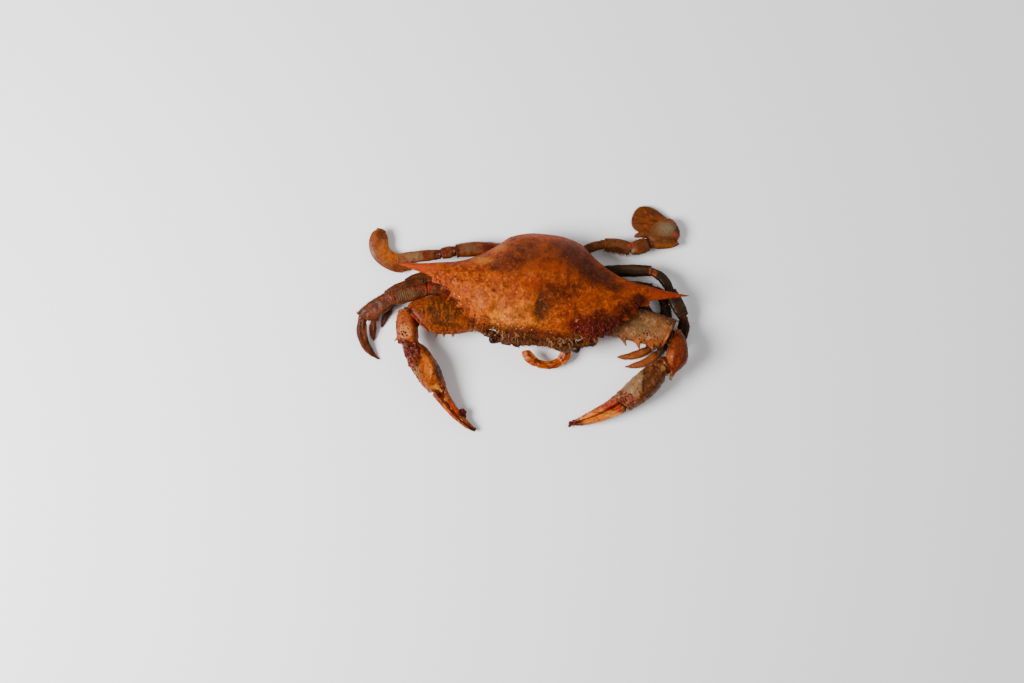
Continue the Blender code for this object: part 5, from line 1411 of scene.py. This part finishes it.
mouthArc = {
    "middle": (6.8, -37.8), "radiusX": 11.5, "radiusY": 8.5, "from": 16.0, "to": -170.0, "length": 31.0,
    "height": 8.4, "sag": 3.6, "sagRate": 1.3, "sagStart": 0.05, "sagPower": 0.8,
    "halfWidth": 2.9, "halfThickness": 2.2, "power": 2.2, "cap": 0.9, "wear": 0.22,
    "sizes": [(0, 0.82), (0.14, 1.12), (0.36, 0.92), (0.58, 0.84), (0.84, 1.1), (1, 0.84)],
    "rings": 9, "ringDepth": 0.05, "joints": [0.3, 0.68], "jointDepth": 0.16, "jointWidth": 0.015,
    "rows": 150, "sides": 48,
    "ridges": [(90, 14, 0.14), (58, 10, -0.1), (122, 10, -0.1), (30, 12, 0.05), (150, 12, 0.05)],
}
eyeSizes = [
    (16.4, -34, 18.6, 1.1, 1), (18.4, -35.9, 19.4, 1.2, 1.1), (20.4, -36.5, 19.9, 1.5, 1.4),
    (22.2, -36.5, 20.2, 2.4, 2.2), (24.2, -36.4, 20.4, 2.7, 2.5), (26, -36.2, 20.5, 2, 1.9)]
plateSizes = [
    (5.4, -31.3, 3.6, 2.4, 1), (5.7, -31.8, 5.4, 4, 1.5), (5.9, -32.4, 8.2, 4.4, 1.6),
    (5.9, -33.4, 10.8, 3.8, 1.5), (5.8, -34.2, 12.6, 2, 1)]


def mouthLegSurface():
    # an elliptical arc seen from above that sags towards its front, with shallow rings along it
    arc = mouthArc
    s = np.linspace(0, 1, arc["rows"])
    angle = np.radians(arc["from"] + (arc["to"] - arc["from"]) * s)
    size = curve(arc["sizes"], s)
    sagging = np.sin(math.pi * np.minimum(1, s * arc["sagRate"] + arc["sagStart"])) ** arc["sagPower"]
    x = arc["middle"][0] + arc["radiusX"] * np.cos(angle)
    y = arc["middle"][1] + arc["radiusY"] * np.sin(angle)
    line = np.stack([x, y, arc["height"] - arc["sag"] * sagging], -1)
    cap = bothCaps(s * arc["length"], (1 - s) * arc["length"], arc["cap"])
    ringed = 1 - arc["ringDepth"] * np.abs(np.cos(math.pi * arc["rings"] * s)) ** 8
    ringed = ringed - sum(arc["jointDepth"] * bell(s - at, arc["jointWidth"]) for at in arc["joints"])
    width, thick = arc["halfWidth"] * size * cap * ringed, arc["halfThickness"] * size * cap * ringed
    return wornTube(line, width, thick, arc, 31, arc["ridges"])


# how far the rings of the eyes and feelers crowd together at both ends
stationCrowding = 0.08


def stationTube(stations, rows, sides, capLength):
    # smooth tube through stations of (x, y, height, half width, half thickness)
    table = np.array(stations, float)
    run = np.concatenate([[0], np.cumsum(np.linalg.norm(np.diff(table[:, :3], axis=0), axis=1))])
    s = crowd(np.linspace(0, 1, rows), stationCrowding) * run[-1]
    columns = [curve(list(zip(run, table[:, k])), s) for k in range(5)]
    line = np.stack(columns[:3], -1)
    cap = bothCaps(s, run[-1] - s, capLength)
    points, _ = roundSection(line, acrossLine(line), columns[3] * cap, columns[4] * cap, 2.0, [], sides)
    return points, line


# the mouth plates: lowest point, height, grid, rounding of the ends, the groove down the front, wear
mouthPlate = {
    "foot": 3.6, "height": 9.0, "rows": 60, "sides": 48, "cap": 1.4, "groove": 0.25, "grooveSpread": 14,
    "wear": 0.12,
}


def plateSurface(sign):
    # upright plate: elliptical rings stacked by height, with a groove down its front
    facts = mouthPlate
    table = np.array(plateSizes, float)
    t = np.linspace(0, 1, facts["rows"])
    z = facts["foot"] + facts["height"] * t
    x, y, wide, thick = (curve(list(zip(table[:, 2], table[:, k])), z) for k in (0, 1, 3, 4))
    cap = bothCaps(t * facts["height"], (1 - t) * facts["height"], facts["cap"])[:, None]
    angle = ringAngles(facts["sides"])
    groove = 1 - facts["groove"] * bell((np.degrees(angle) - 270), facts["grooveSpread"])
    ringX = sign * x[:, None] + wide[:, None] * np.cos(angle) * cap
    ringY = y[:, None] + thick[:, None] * np.sin(angle) * cap * groove
    points = np.stack([ringX, ringY, np.broadcast_to(z[:, None], ringX.shape)], -1)
    middle = np.stack([sign * x, y, z], -1)
    return closedTube(weather(points, middle, facts["wear"], 37))


# each eye's stalk and ball: rows, sides, rounding of the ends, and wear
eyeFacts = {"rows": 40, "sides": 36, "stalkCap": 0.8, "ballCap": 2.2, "wear": 0.08}


def buildFace():
    facts = eyeFacts
    addPiece("mouth_leg_palp_shell", mouthLegSurface(), "mouthLeg", ["mouth_leg_palp"])
    for side, sign in (("left", -1), ("right", 1)):
        stations = [(sign * x, *rest) for x, *rest in eyeSizes]
        points, line = stationTube(stations[:4], facts["rows"], facts["sides"], facts["stalkCap"])
        stalk = closedTube(weather(points, line, facts["wear"], 33))
        addPiece(side + "_eye_stalk", stalk, "face", [side + "_eye"])
        points, line = stationTube(stations[2:], facts["rows"], facts["sides"], facts["ballCap"])
        addPiece(side + "_eye_ball", closedTube(points), "eye", [side + "_eye"])
        addPiece(side + "_mouth_plate_shell", plateSurface(sign), "belly", [side + "_mouth_plate"])


# lumps of the mouth parts below the shell's front edge: along x, their y and height, and sizes
faceLumps = {
    "count": 190, "spread": 33.0, "frontY": [(0, -33.5), (10, -34.6), (17, -35.2), (24, -33.4), (31, -30.5)],
    "low": 12.5, "high": 22.0, "size": (0.9, 1.9), "seed": 4,
    # lumps that fill the room round each eye: x, y, height, size
    "eyeSockets": [
        (20.5, -33.2, 20.0, 2.2), (17.8, -34.6, 19.8, 1.8), (27.0, -33.2, 20.0, 2.1),
        (22.5, -34.2, 21.6, 1.5)],
}


# what sets the lumps' places and sizes: how far they step back towards the top, their scatter in y, their
# stretch along x and up, how lumpy they are and how finely they are drawn
lumpFacts = {
    "stepBack": 1.4, "stepHeight": 9, "scatter": 0.8, "long": (0.9, 1.6), "tall": (0.7, 1.1),
    "amount": 0.4, "grid": (13, 18), "socketRadii": (1.3, 1.0, 0.9), "socketAmount": 0.5, "grainSize": 1.6,
}


def lumpyBall(centre, radii, amount, seed, rows=18, sides=26):
    # ellipsoid, each point moved away from the centre by its lumps
    t, a = np.meshgrid(np.linspace(0.02, 0.98, rows) * math.pi, ringAngles(sides), indexing="ij")
    aim = np.stack([np.sin(t) * np.cos(a), np.sin(t) * np.sin(a), np.cos(t)], -1)
    points = np.array(centre) + aim * np.array(radii)
    return closedTube(points + aim * (amount * roughness(points, lumpFacts["grainSize"], seed))[..., None])


def buildFaceLumps():
    facts = {**faceLumps, **lumpFacts}
    rng = np.random.default_rng(facts["seed"])
    shapes = []
    for k in range(facts["count"]):
        x = facts["spread"] * (2 * (k + rng.uniform(0, 1)) / facts["count"] - 1)
        z = rng.uniform(facts["low"], facts["high"])
        back = facts["stepBack"] * (facts["high"] - z) / facts["stepHeight"]
        y = float(curve(facts["frontY"], abs(x))) - back + rng.uniform(-facts["scatter"], facts["scatter"])
        size = rng.uniform(*facts["size"])
        radii = (size * rng.uniform(*facts["long"]), size, size * rng.uniform(*facts["tall"]))
        shapes.append(lumpyBall((x, y, z), radii, facts["amount"], 60 + k, *facts["grid"]))
    sockets = [(sign * x, *rest) for sign in (-1, 1) for x, *rest in facts["eyeSockets"]]
    for k, (x, y, z, size) in enumerate(sockets):
        radii = [size * share for share in facts["socketRadii"]]
        shapes.append(lumpyBall((x, y, z), radii, facts["socketAmount"], 20 + k))
    addPiece("mouth_lumps", joined(shapes), "face")


buildFace()
buildFaceLumps()
print("face done")


# belly and tail flap

bellyFacts = {
    "halfWidth": 26.8, "middleY": -4.2, "halfLength": 25.6, "power": 2.7, "top": 11.7,
    "levels": [(0, 0.8), (1, 0.88), (3.6, 0.965), (7, 1), (10.2, 0.99), (11.7, 0.95)],
    "sides": 200, "bottom": (0.01, 0.79, 90), "wallRows": 34, "roof": (0.94, 0.01, 12),
    # grooves between the plates (inner and outer y of each, from x to x) and along the middle
    "plateLines": [(-19, -24), (-11, -14), (-3, -5), (5, 4.5), (12, 14)], "lineEnds": (4, 27),
    "groove": 0.55, "grooveWidth": 0.7, "midGroove": 0.7, "midGrooveWidth": 0.6, "underTop": 3,
    # the tail flap: half widths (x, y) along it, joints, and the pocket that it lies in
    "flap": [(13.5, 15.4), (12.4, 11.8), (5.6, 8.2), (3.8, 0), (3.2, -9), (1.4, -14.6)],
    "flapJoints": [11.9, 8.2, 4.2, -0.6, -8.6], "pocket": 1.6, "gap": 0.3, "pocketRoom": 0.5,
    "pocketEdge": (-0.1, 0.25), "wear": 0.12, "wearSize": 4.0,
}


def flapHalf(y):
    # half width of the tail flap at y
    return straight([(v, x) for x, v in bellyFacts["flap"]], y)


def bellySurface():
    # rings of a superellipse: out across the flat bottom, up the side by the levels, in across the top
    facts = bellyFacts
    ringX, ringY = superellipse(ringAngles(facts["sides"]), facts["power"])
    bottom, roof = np.linspace(*facts["bottom"]), np.linspace(*facts["roof"])
    wall = np.linspace(0, facts["top"], facts["wallRows"])
    share = np.concatenate([bottom, curve(facts["levels"], wall), roof])
    z = np.concatenate([np.zeros(len(bottom)), wall, np.full(len(roof), facts["top"])])
    x = share[:, None] * (facts["halfWidth"] * ringX)
    y = facts["middleY"] + share[:, None] * (facts["halfLength"] * ringY)
    height = np.broadcast_to(z[:, None], x.shape).copy()
    under = np.broadcast_to((z < facts["underTop"])[:, None], x.shape)
    startX, endX = facts["lineEnds"]
    for inner, outer in facts["plateLines"]:
        line = distanceToLine(np.abs(x), y, (startX, inner), (endX, outer))
        height += facts["groove"] * bell(line, facts["grooveWidth"]) * under
    front, rear = facts["flap"][-1][1], facts["flap"][0][1]
    height += facts["midGroove"] * bell(x, facts["midGrooveWidth"]) * (y < front) * under
    inFlap = (y < rear + facts["gap"]) & (y > front - facts["gap"])
    room = np.where(inFlap, flapHalf(y) + facts["pocketRoom"] - np.abs(x), -1.0)
    pocket = ease(room, *facts["pocketEdge"])
    height = np.where(under, height + (facts["pocket"] - height) * pocket, height)
    rough = roughness(np.stack([x, y, height], -1), facts["wearSize"], 51) + 1
    height = height + facts["wear"] * rough * under * (1 - pocket)
    return closedTube(np.stack([x, y, height], -1))


# the tail flap's slab: first and last row, half thickness, rounding of the ends, notches at the joints
flapFacts = {
    "rows": (15.35, -14.55, 160), "ends": (15.45, 14.65), "cap": 0.8, "edgeShare": 0.35, "capShare": 0.65,
    "jointWidth": 0.35, "narrowing": 0.03, "thinning": 0.35, "halfThickness": 0.62, "height": 0.65,
    "power": 4.0, "sides": 64,
}


def flapSurface():
    # closed slab in the pocket: at each y a flat ring as wide as the outline, notched at each joint
    facts = flapFacts
    y = np.linspace(*facts["rows"])
    joint = sum(bell(y - at, facts["jointWidth"]) for at in bellyFacts["flapJoints"])
    cap = bothCaps(facts["ends"][0] - y, y + facts["ends"][1], facts["cap"])
    width = flapHalf(y) * (1 - facts["narrowing"] * joint)
    rounding = facts["edgeShare"] + facts["capShare"] * cap
    thick = facts["halfThickness"] * (1 - facts["thinning"] * joint) * rounding
    line = np.stack([np.zeros(len(y)), y, np.full(len(y), facts["height"])], -1)
    across = np.broadcast_to(np.array([1.0, 0, 0]), line.shape)
    points, _ = roundSection(line, across, width, thick, facts["power"], [], facts["sides"])
    return closedTube(points)


addPiece("belly_plates", bellySurface(), "belly", ["belly"])
addPiece("tail_flap_plates", flapSurface(), "belly", ["tail_flap"])
print("belly done")

# bristles, feelers, dried sauce and oil

# each hair's rings of points, as shares of its length, and how much thinner it is at the tip
hairShape = {"rings": (0.0, 0.4, 0.75), "taper": 0.8}


def bristles(roots, aims, lengths, radius, droop):
    # each hair is a three-sided cone: the point at share t of it is its root + aim * length * t
    # less droop * length * t^2 upwards, and its radius shrinks with t
    count = len(roots)
    share = np.array(hairShape["rings"])
    turn = np.array([0, 2, 4]) * math.pi / 3
    side = unit(np.cross(aims, up + np.array([0.01, 0.02, 0.0])))
    over = unit(np.cross(side, aims))
    line = roots[:, None] + aims[:, None] * (lengths[:, None] * share)[..., None]
    line = line - up * (droop * lengths[:, None] * share ** 2)[..., None]
    around = side[:, None, None] * np.cos(turn)[:, None] + over[:, None, None] * np.sin(turn)[:, None]
    rings = line[:, :, None] + around * (radius * (1 - hairShape["taper"] * share))[:, None, None]
    tips = roots + aims * lengths[:, None] - up * (droop * lengths)[:, None]
    verts = np.concatenate([rings.reshape(count, 9, 3), tips[:, None]], axis=1).reshape(-1, 3)
    one = [[2, 1, 0]] + [[r * 3 + k, r * 3 + (k + 1) % 3, r * 3 + 3 + (k + 1) % 3, r * 3 + 3 + k]
                         for r in range(2) for k in range(3)]
    one += [[6, 7, 9], [7, 8, 9], [8, 6, 9]]
    faces = [[corner + 10 * k for corner in face] for k in range(count) for face in one]
    return verts, faces


def normalsOf(points):
    # cross product of the two directions along the grid, turned away from each row's middle
    along = np.gradient(points, axis=0)
    around = np.roll(points, -1, axis=1) - np.roll(points, 1, axis=1)
    normals = unit(np.cross(along, around))
    outwards = points - points.mean(axis=1, keepdims=True)
    return normals * np.sign(np.sum(normals * outwards, -1, keepdims=True) + 1e-9)


# hairs along the edges of limb pieces: angle round the piece (0 is its left, 180 its right, as it
# runs outwards), from and to shares of its length, count and length
hairRows = {
    "right_swim_leg_merus": [(180, 0.1, 0.95, 110, 2.6), (200, 0.1, 0.8, 70, 2.2)],
    "right_swim_leg_ischium": [(180, 0.2, 0.9, 24, 1.6)],
    "right_swim_leg_carpus": [(180, 0.2, 0.8, 24, 1.3)],
    "left_swim_leg_dactyl": [(0, 0.2, 0.97, 80, 0.8), (180, 0.2, 0.97, 80, 0.8)],
    "left_swim_leg_merus": [(180, 0.1, 0.9, 40, 1.2)],
    "left_front_leg_carpus": [(180, 0.2, 0.9, 40, 1.1), (120, 0.2, 0.85, 50, 0.8)],
    "left_front_leg_propodus": [(180, 0.2, 0.9, 60, 1.3), (0, 0.3, 0.9, 30, 0.9)],
    "left_front_leg_dactyl": [(180, 0.05, 0.8, 60, 1.0), (0, 0.1, 0.7, 40, 0.8)],
    "left_middle_leg_propodus": [(180, 0.2, 0.9, 40, 1.1)],
    "left_middle_leg_dactyl": [(0, 0.1, 0.8, 40, 0.9)],
    "right_front_leg_dactyl": [(0, 0.1, 0.8, 40, 0.9), (180, 0.1, 0.8, 40, 0.9)],
    "right_middle_leg_dactyl": [(0, 0.1, 0.8, 40, 0.9), (180, 0.1, 0.8, 40, 0.9)],
    "right_rear_leg_dactyl": [(0, 0.1, 0.8, 40, 0.9)],
    "left_claw_merus": [(180, 0.1, 0.95, 160, 1.2)],
    "right_claw_merus": [(180, 0.05, 0.95, 160, 1.4)],
}
# hairs round the broad plates: from and to shares of the way round, count and length
plateHairs = {
    "right_swim_leg_propodus": (0.45, 0.8, 90, 0.9),
    "right_swim_leg_dactyl": (0.0, 0.55, 150, 0.8),
}
# hairs under the front edge, on it and along it: chance to either side, lowest and highest upward lean,
# droop; then the places, lengths and radii
fringe = {
    "under": (0.5, -0.7, 0.35, 0.15), "on": (0.7, -0.1, 0.5, 0.3), "along": (1.4, 0.0, 0.5, 0.25),
    "middleLength": (0.7, 0.5), "shortest": 0.4, "strayShares": (0.95, 1.0),
    "count": 1500, "spread": 35.0, "low": 12.0, "high": 23.5, "length": (1.0, 3.2), "radius": 0.16,
    "setBack": 1.0, "scatter": (-0.6, 1.2), "fan": 90, "middleWidth": 24,
    "sink": 0.1, "strayLength": (2.0, 4.4), "strayRadius": 0.15, "seed": 8,
}
# hairs that lie on the back just behind its front edge: from and to x, count, share of the way
# from the rear to the front edge, and length
edgeHairs = [
    (-34, -18, 130, (0.93, 1.0), 2.2), (-18, 18, 240, (0.955, 1.0), 2.0), (18, 36, 170, (0.93, 1.0), 2.2)]
# long pale hairs that lie along the front edge near the eyes: from and to x, and count
strayHairs = [(-26, -6, 34), (6, 32, 46)]


# how all hairs on limbs grow: spread round the piece (degrees), lean and chance of their aim, shortest
# share of the length, depth of the root, and radius on pieces and on plates
hairFacts = {
    "turn": 16, "lean": 0.5, "plateLean": 0.4, "chance": 0.35, "plateChance": 0.3, "shortest": 0.45,
    "root": 0.15, "radius": 0.14, "plateRadius": 0.1, "droop": 0.1, "seed": 21,
}


def limbHairs():
    # roots spread evenly along each row with a little chance, each hair leaning outwards and on
    facts = hairFacts
    rng = np.random.default_rng(facts["seed"])
    shapes = []
    for node, rowsOfHair in hairRows.items():
        points = surfaces[node]
        normals = normalsOf(points)
        rows, sides = points.shape[:2]
        for degrees, low, high, count, length in rowsOfHair:
            share = low + (high - low) * (np.arange(count) + rng.uniform(0, 1, count)) / count
            r = (share * (rows - 1)).astype(int)
            turn = degrees + rng.uniform(-facts["turn"], facts["turn"], count)
            c = (turn / 360 * sides).astype(int) % sides
            along = unit(points[np.minimum(r + 2, rows - 1), c] - points[np.maximum(r - 2, 0), c])
            chance = rng.uniform(-facts["chance"], facts["chance"], (count, 3))
            aims = unit(normals[r, c] + facts["lean"] * along + chance)
            lengths = length * rng.uniform(facts["shortest"], 1.0, count)
            roots = points[r, c] - normals[r, c] * facts["root"]
            shapes.append(bristles(roots, aims, lengths, facts["radius"], facts["droop"]))
    for node, (low, high, count, length) in plateHairs.items():
        ring = surfaces[node][np.argmax(np.ptp(surfaces[node][:, :, 0], axis=1))]
        c = (rng.uniform(low, high, count) * len(ring)).astype(int)
        along = unit(np.roll(ring, -2, axis=0) - np.roll(ring, 2, axis=0))[c]
        out = np.cross(up, along)
        out = out * np.sign(np.sum(out * (ring[c] - ring.mean(0)), -1))[:, None]
        chance = rng.uniform(-facts["plateChance"], facts["plateChance"], (count, 3))
        aims = unit(out + facts["plateLean"] * along + chance)
        lengths = length * rng.uniform(facts["shortest"], 1.0, count)
        roots = ring[c] - out * facts["root"]
        shapes.append(bristles(roots, aims, lengths, facts["plateRadius"], facts["droop"]))
    addPiece("limb_hairs", joined(shapes), "hair")


def fringeHairs():
    # hairs that hang out from under the front edge, longer between the eyes
    facts = fringe
    rng = np.random.default_rng(facts["seed"])
    count = facts["count"]
    x = facts["spread"] * rng.uniform(-1, 1, count)
    z = rng.uniform(facts["low"], facts["high"], count)
    y = curve(faceLumps["frontY"], np.abs(x)) - facts["setBack"] + rng.uniform(*facts["scatter"], count)

    def aimed(x, spread, low, high):
        # forwards, with chance to either side and from low to high upwards
        sideways = rng.normal(0, spread, count) + x / facts["fan"]
        return unit(np.stack([sideways, -np.ones(count), rng.uniform(low, high, count)], -1))

    *lean, droop = facts["under"]
    aims = aimed(x, *lean)
    least, more = facts["middleLength"]
    lengths = rng.uniform(*facts["length"], count) * (least + more * bell(x, facts["middleWidth"]))
    roots = np.stack([x, y, z], -1)
    shapes = [bristles(roots, aims, lengths, facts["radius"], droop)]
    *lean, droop = facts["on"]
    for low, high, count, shares, length in edgeHairs:
        roots = shellOver(rng.uniform(low, high, count), rng.uniform(*shares, count)) - up * facts["sink"]
        aims = aimed(0.0, *lean)
        lengths = length * rng.uniform(facts["shortest"], 1.0, count)
        shapes.append(bristles(roots, aims, lengths, facts["radius"], droop))
    addPiece("fringe_hairs", joined(shapes), "hair")
    shapes = []
    *lean, droop = facts["along"]
    for low, high, count in strayHairs:
        places = rng.uniform(low, high, count), rng.uniform(*facts["strayShares"], count)
        roots = shellOver(*places) - up * facts["sink"]
        aims = aimed(0.0, *lean)
        lengths = rng.uniform(*facts["strayLength"], count)
        shapes.append(bristles(roots, aims, lengths, facts["strayRadius"], droop))
    addPiece("stray_hairs", joined(shapes), "paleHair")


# feelers: stations (x, y, height), with their radius at the root and the tip
feelers = [
    ([(-15.5, -33.5, 20.5), (-14, -36.5, 21), (-11.5, -38.4, 20.2), (-8, -39.4, 18.6)], 0.75, 0.22),
    ([(9, -33.8, 20.5), (10.5, -36.6, 20.8), (12.6, -38.2, 19.8), (15, -38.8, 18)], 0.75, 0.22),
    ([(-3, -33.6, 20), (-3.6, -36.2, 20.4), (-2.4, -37.8, 19.4)], 0.55, 0.2),
    ([(3, -33.6, 20), (3.4, -36.4, 20.2), (2, -37.6, 19)], 0.55, 0.2),
]
# how finely feelers are drawn, and the rounding of their ends
feelerFacts = {"rows": 36, "sides": 16, "cap": 0.3}


def feelerTubes():
    facts = feelerFacts
    shapes = []
    for places, root, tip in feelers:
        steps = len(places) - 1
        sizes = [root + (tip - root) * k / steps for k in range(steps + 1)]
        stations = [(*place, size, size) for place, size in zip(places, sizes)]
        points, _ = stationTube(stations, facts["rows"], facts["sides"], facts["cap"])
        shapes.append(closedTube(points))
    addPiece("feelers", joined(shapes), "face")


# dried sauce: centre and radii of the single clots
clots = [
    ((-36.7, -78.6, 5.0), (2.3, 2.5, 1.9)), ((-35.2, -80.4, 4.2), (1.3, 1.5, 1.3)),
    ((-29.2, -87.1, 2.5), (1.5, 1.1, 1.0)), ((25.9, -77.5, 3.0), (1.5, 1.4, 1.3)),
    ((25.2, -79.0, 2.4), (0.9, 0.9, 0.9)), ((27.6, -76.2, 3.4), (1.1, 0.8, 0.8)),
]
# scattered clots on each node: middle, spread, count, smallest and largest radius
clotFields = {
    "left_claw_palm": [
        ((-68.0, -48.5), 4.4, 60, 0.3, 1.0), ((-67.0, -55.0), 4.4, 36, 0.25, 0.8),
        ((-63.5, -62.0), 3.6, 18, 0.2, 0.6), ((-50.5, -68.5), 4.0, 26, 0.2, 0.7),
        ((-58.0, -55.0), 7.0, 30, 0.15, 0.4)],
    "left_claw_carpus": [((-75.0, -41.5), 4.5, 30, 0.2, 0.7), ((-77.0, -34.0), 6.0, 26, 0.2, 0.5)],
    "right_claw_palm": [((55.5, -61.0), 3.6, 34, 0.2, 0.7), ((62.0, -58.0), 7.0, 24, 0.15, 0.4)],
    "right_claw_merus": [((64.0, -29.0), 8.0, 30, 0.2, 0.6)],
    "right_claw_carpus": [((80.0, -36.0), 8.0, 24, 0.15, 0.5)],
    "right_claw_finger": [((40.0, -71.0), 8.0, 14, 0.15, 0.4)],
}


# shape of the clots on the claws: stretch, flatness, lumpiness, grid, depth they are sunk to and how far
# the skin there faces up; then of single clots and of those on the back shell
clotFacts = {
    "stretch": (0.8, 1.3), "flat": (1, 1, 0.7), "rough": 0.35, "grid": (9, 13), "sunk": 0.25, "leastUp": 0.1,
    "singleRough": 0.45, "seed": 33,
    "shellStretch": (0.8, 1.4), "shellFlat": (1, 1, 0.6), "shellGrid": (8, 11), "shellSeed": 44,
}


def driedSauce():
    # single clots where they stick out, and small ones on the upper skin round each field's middle
    facts = clotFacts
    rng = np.random.default_rng(facts["seed"])
    shapes = [lumpyBall(*clot, facts["singleRough"], 80 + k) for k, clot in enumerate(clots)]
    for node, fields in clotFields.items():
        points = surfaces[node].reshape(-1, 3)
        normals = normalsOf(surfaces[node]).reshape(-1, 3)
        for middle, spread, count, small, large in fields:
            near = np.hypot(points[:, 0] - middle[0], points[:, 1] - middle[1]) < spread
            choices = np.flatnonzero(near & (normals[:, 2] > facts["leastUp"]))
            for k in rng.choice(choices, count):
                size = rng.uniform(small, large)
                radii = size * rng.uniform(*facts["stretch"], 3) * np.array(facts["flat"])
                centre = points[k] - normals[k] * facts["sunk"] * size
                seed = 90 + int(k) % 50
                shapes.append(lumpyBall(centre, radii, facts["rough"] * size, seed, *facts["grid"]))
    addPiece("dried_sauce", joined(shapes), "crust")


# sauce dried on the back shell: from and to x, from and to share of the way to the front edge,
# count, smallest and largest radius
shellClots = [
    (20, 34, 0.86, 1.0, 120, 0.25, 0.9), (32, 46, 0.84, 1.0, 130, 0.25, 0.85),
    (44, 56, 0.7, 1.0, 90, 0.2, 0.7), (16, 30, 0.75, 0.9, 50, 0.15, 0.45),
    (-60, -34, 0.9, 1.0, 90, 0.2, 0.6), (-34, 18, 0.93, 1.0, 160, 0.2, 0.7),
]


def driedOnShell():
    facts = clotFacts
    rng = np.random.default_rng(facts["shellSeed"])
    shapes = []
    for lowX, highX, lowV, highV, count, small, large in shellClots:
        spots = shellOver(rng.uniform(lowX, highX, count), rng.uniform(lowV, highV, count))
        sizes = small + (large - small) * rng.uniform(0, 1, count) ** 2
        for k, (place, size) in enumerate(zip(spots, sizes)):
            radii = size * rng.uniform(*facts["shellStretch"], 3) * np.array(facts["shellFlat"])
            shapes.append(lumpyBall(place, radii, facts["rough"] * size, 20 + k % 40, *facts["shellGrid"]))
    addPiece("shell_sauce", joined(shapes), "crust")


# loose spice grains: count for each node of a leg or a claw, smallest and largest radius, their shape
grains = {
    "legs": 26, "claws": 60, "radius": (0.1, 0.34), "stretch": (0.7, 1.3), "rough": 0.3, "grid": (5, 7),
    "leastUp": -0.2, "seed": 52,
}


def spiceGrains():
    # small lumps pressed into the upper skin of every limb piece
    facts = grains
    rng = np.random.default_rng(facts["seed"])
    shapes = []
    for node, points in surfaces.items():
        count = facts["claws"] if "claw" in node else facts["legs"]
        normals = normalsOf(points).reshape(-1, 3)
        points = points.reshape(-1, 3)
        for k in rng.choice(np.flatnonzero(normals[:, 2] > facts["leastUp"]), count):
            size = rng.uniform(*facts["radius"])
            radii = size * rng.uniform(*facts["stretch"], 3)
            shapes.append(lumpyBall(points[k], radii, facts["rough"] * size, 30, *facts["grid"]))
    addPiece("spice_grains", joined(shapes), "crust")


# oil on the back shell: middle of each patch (x, y), its spread in x and y, count of beads
oilPatches = [
    (-15, -26, 7, 2.6, 50), (-30, -17, 8, 4, 30), (-44, -6, 6, 3, 12), (8, -25, 8, 2.4, 16)]
oilBeads = {
    "radius": (0.2, 0.6), "stretch": (0.9, 1.6), "height": 0.3, "reach": (0.05, 0.93), "rough": 0.05,
    "grid": (8, 12), "seed": 17,
}


def oilDrops():
    # flat beads where oil has run together: low lumps on the skin round each patch's middle
    facts = oilBeads
    rng = np.random.default_rng(facts["seed"])
    shapes = []
    for middleX, middleY, spreadX, spreadY, count in oilPatches:
        x = rng.normal(middleX, spreadX, count)
        y = rng.normal(middleY, spreadY, count)
        rearY, frontY, *_ = shellBase(x)
        spots = shellOver(x, np.clip((rearY - y) / (rearY - frontY), *facts["reach"]))
        for place, r in zip(spots, rng.uniform(*facts["radius"], count)):
            radii = (r * rng.uniform(*facts["stretch"]), r, r * facts["height"])
            shapes.append(lumpyBall(place, radii, facts["rough"], 5, *facts["grid"]))
    addPiece("oil_beads", joined(shapes), "oil")


limbHairs()
fringeHairs()
feelerTubes()
driedSauce()
driedOnShell()
spiceGrains()
oilDrops()
print("bristles, feelers, sauce and oil done")
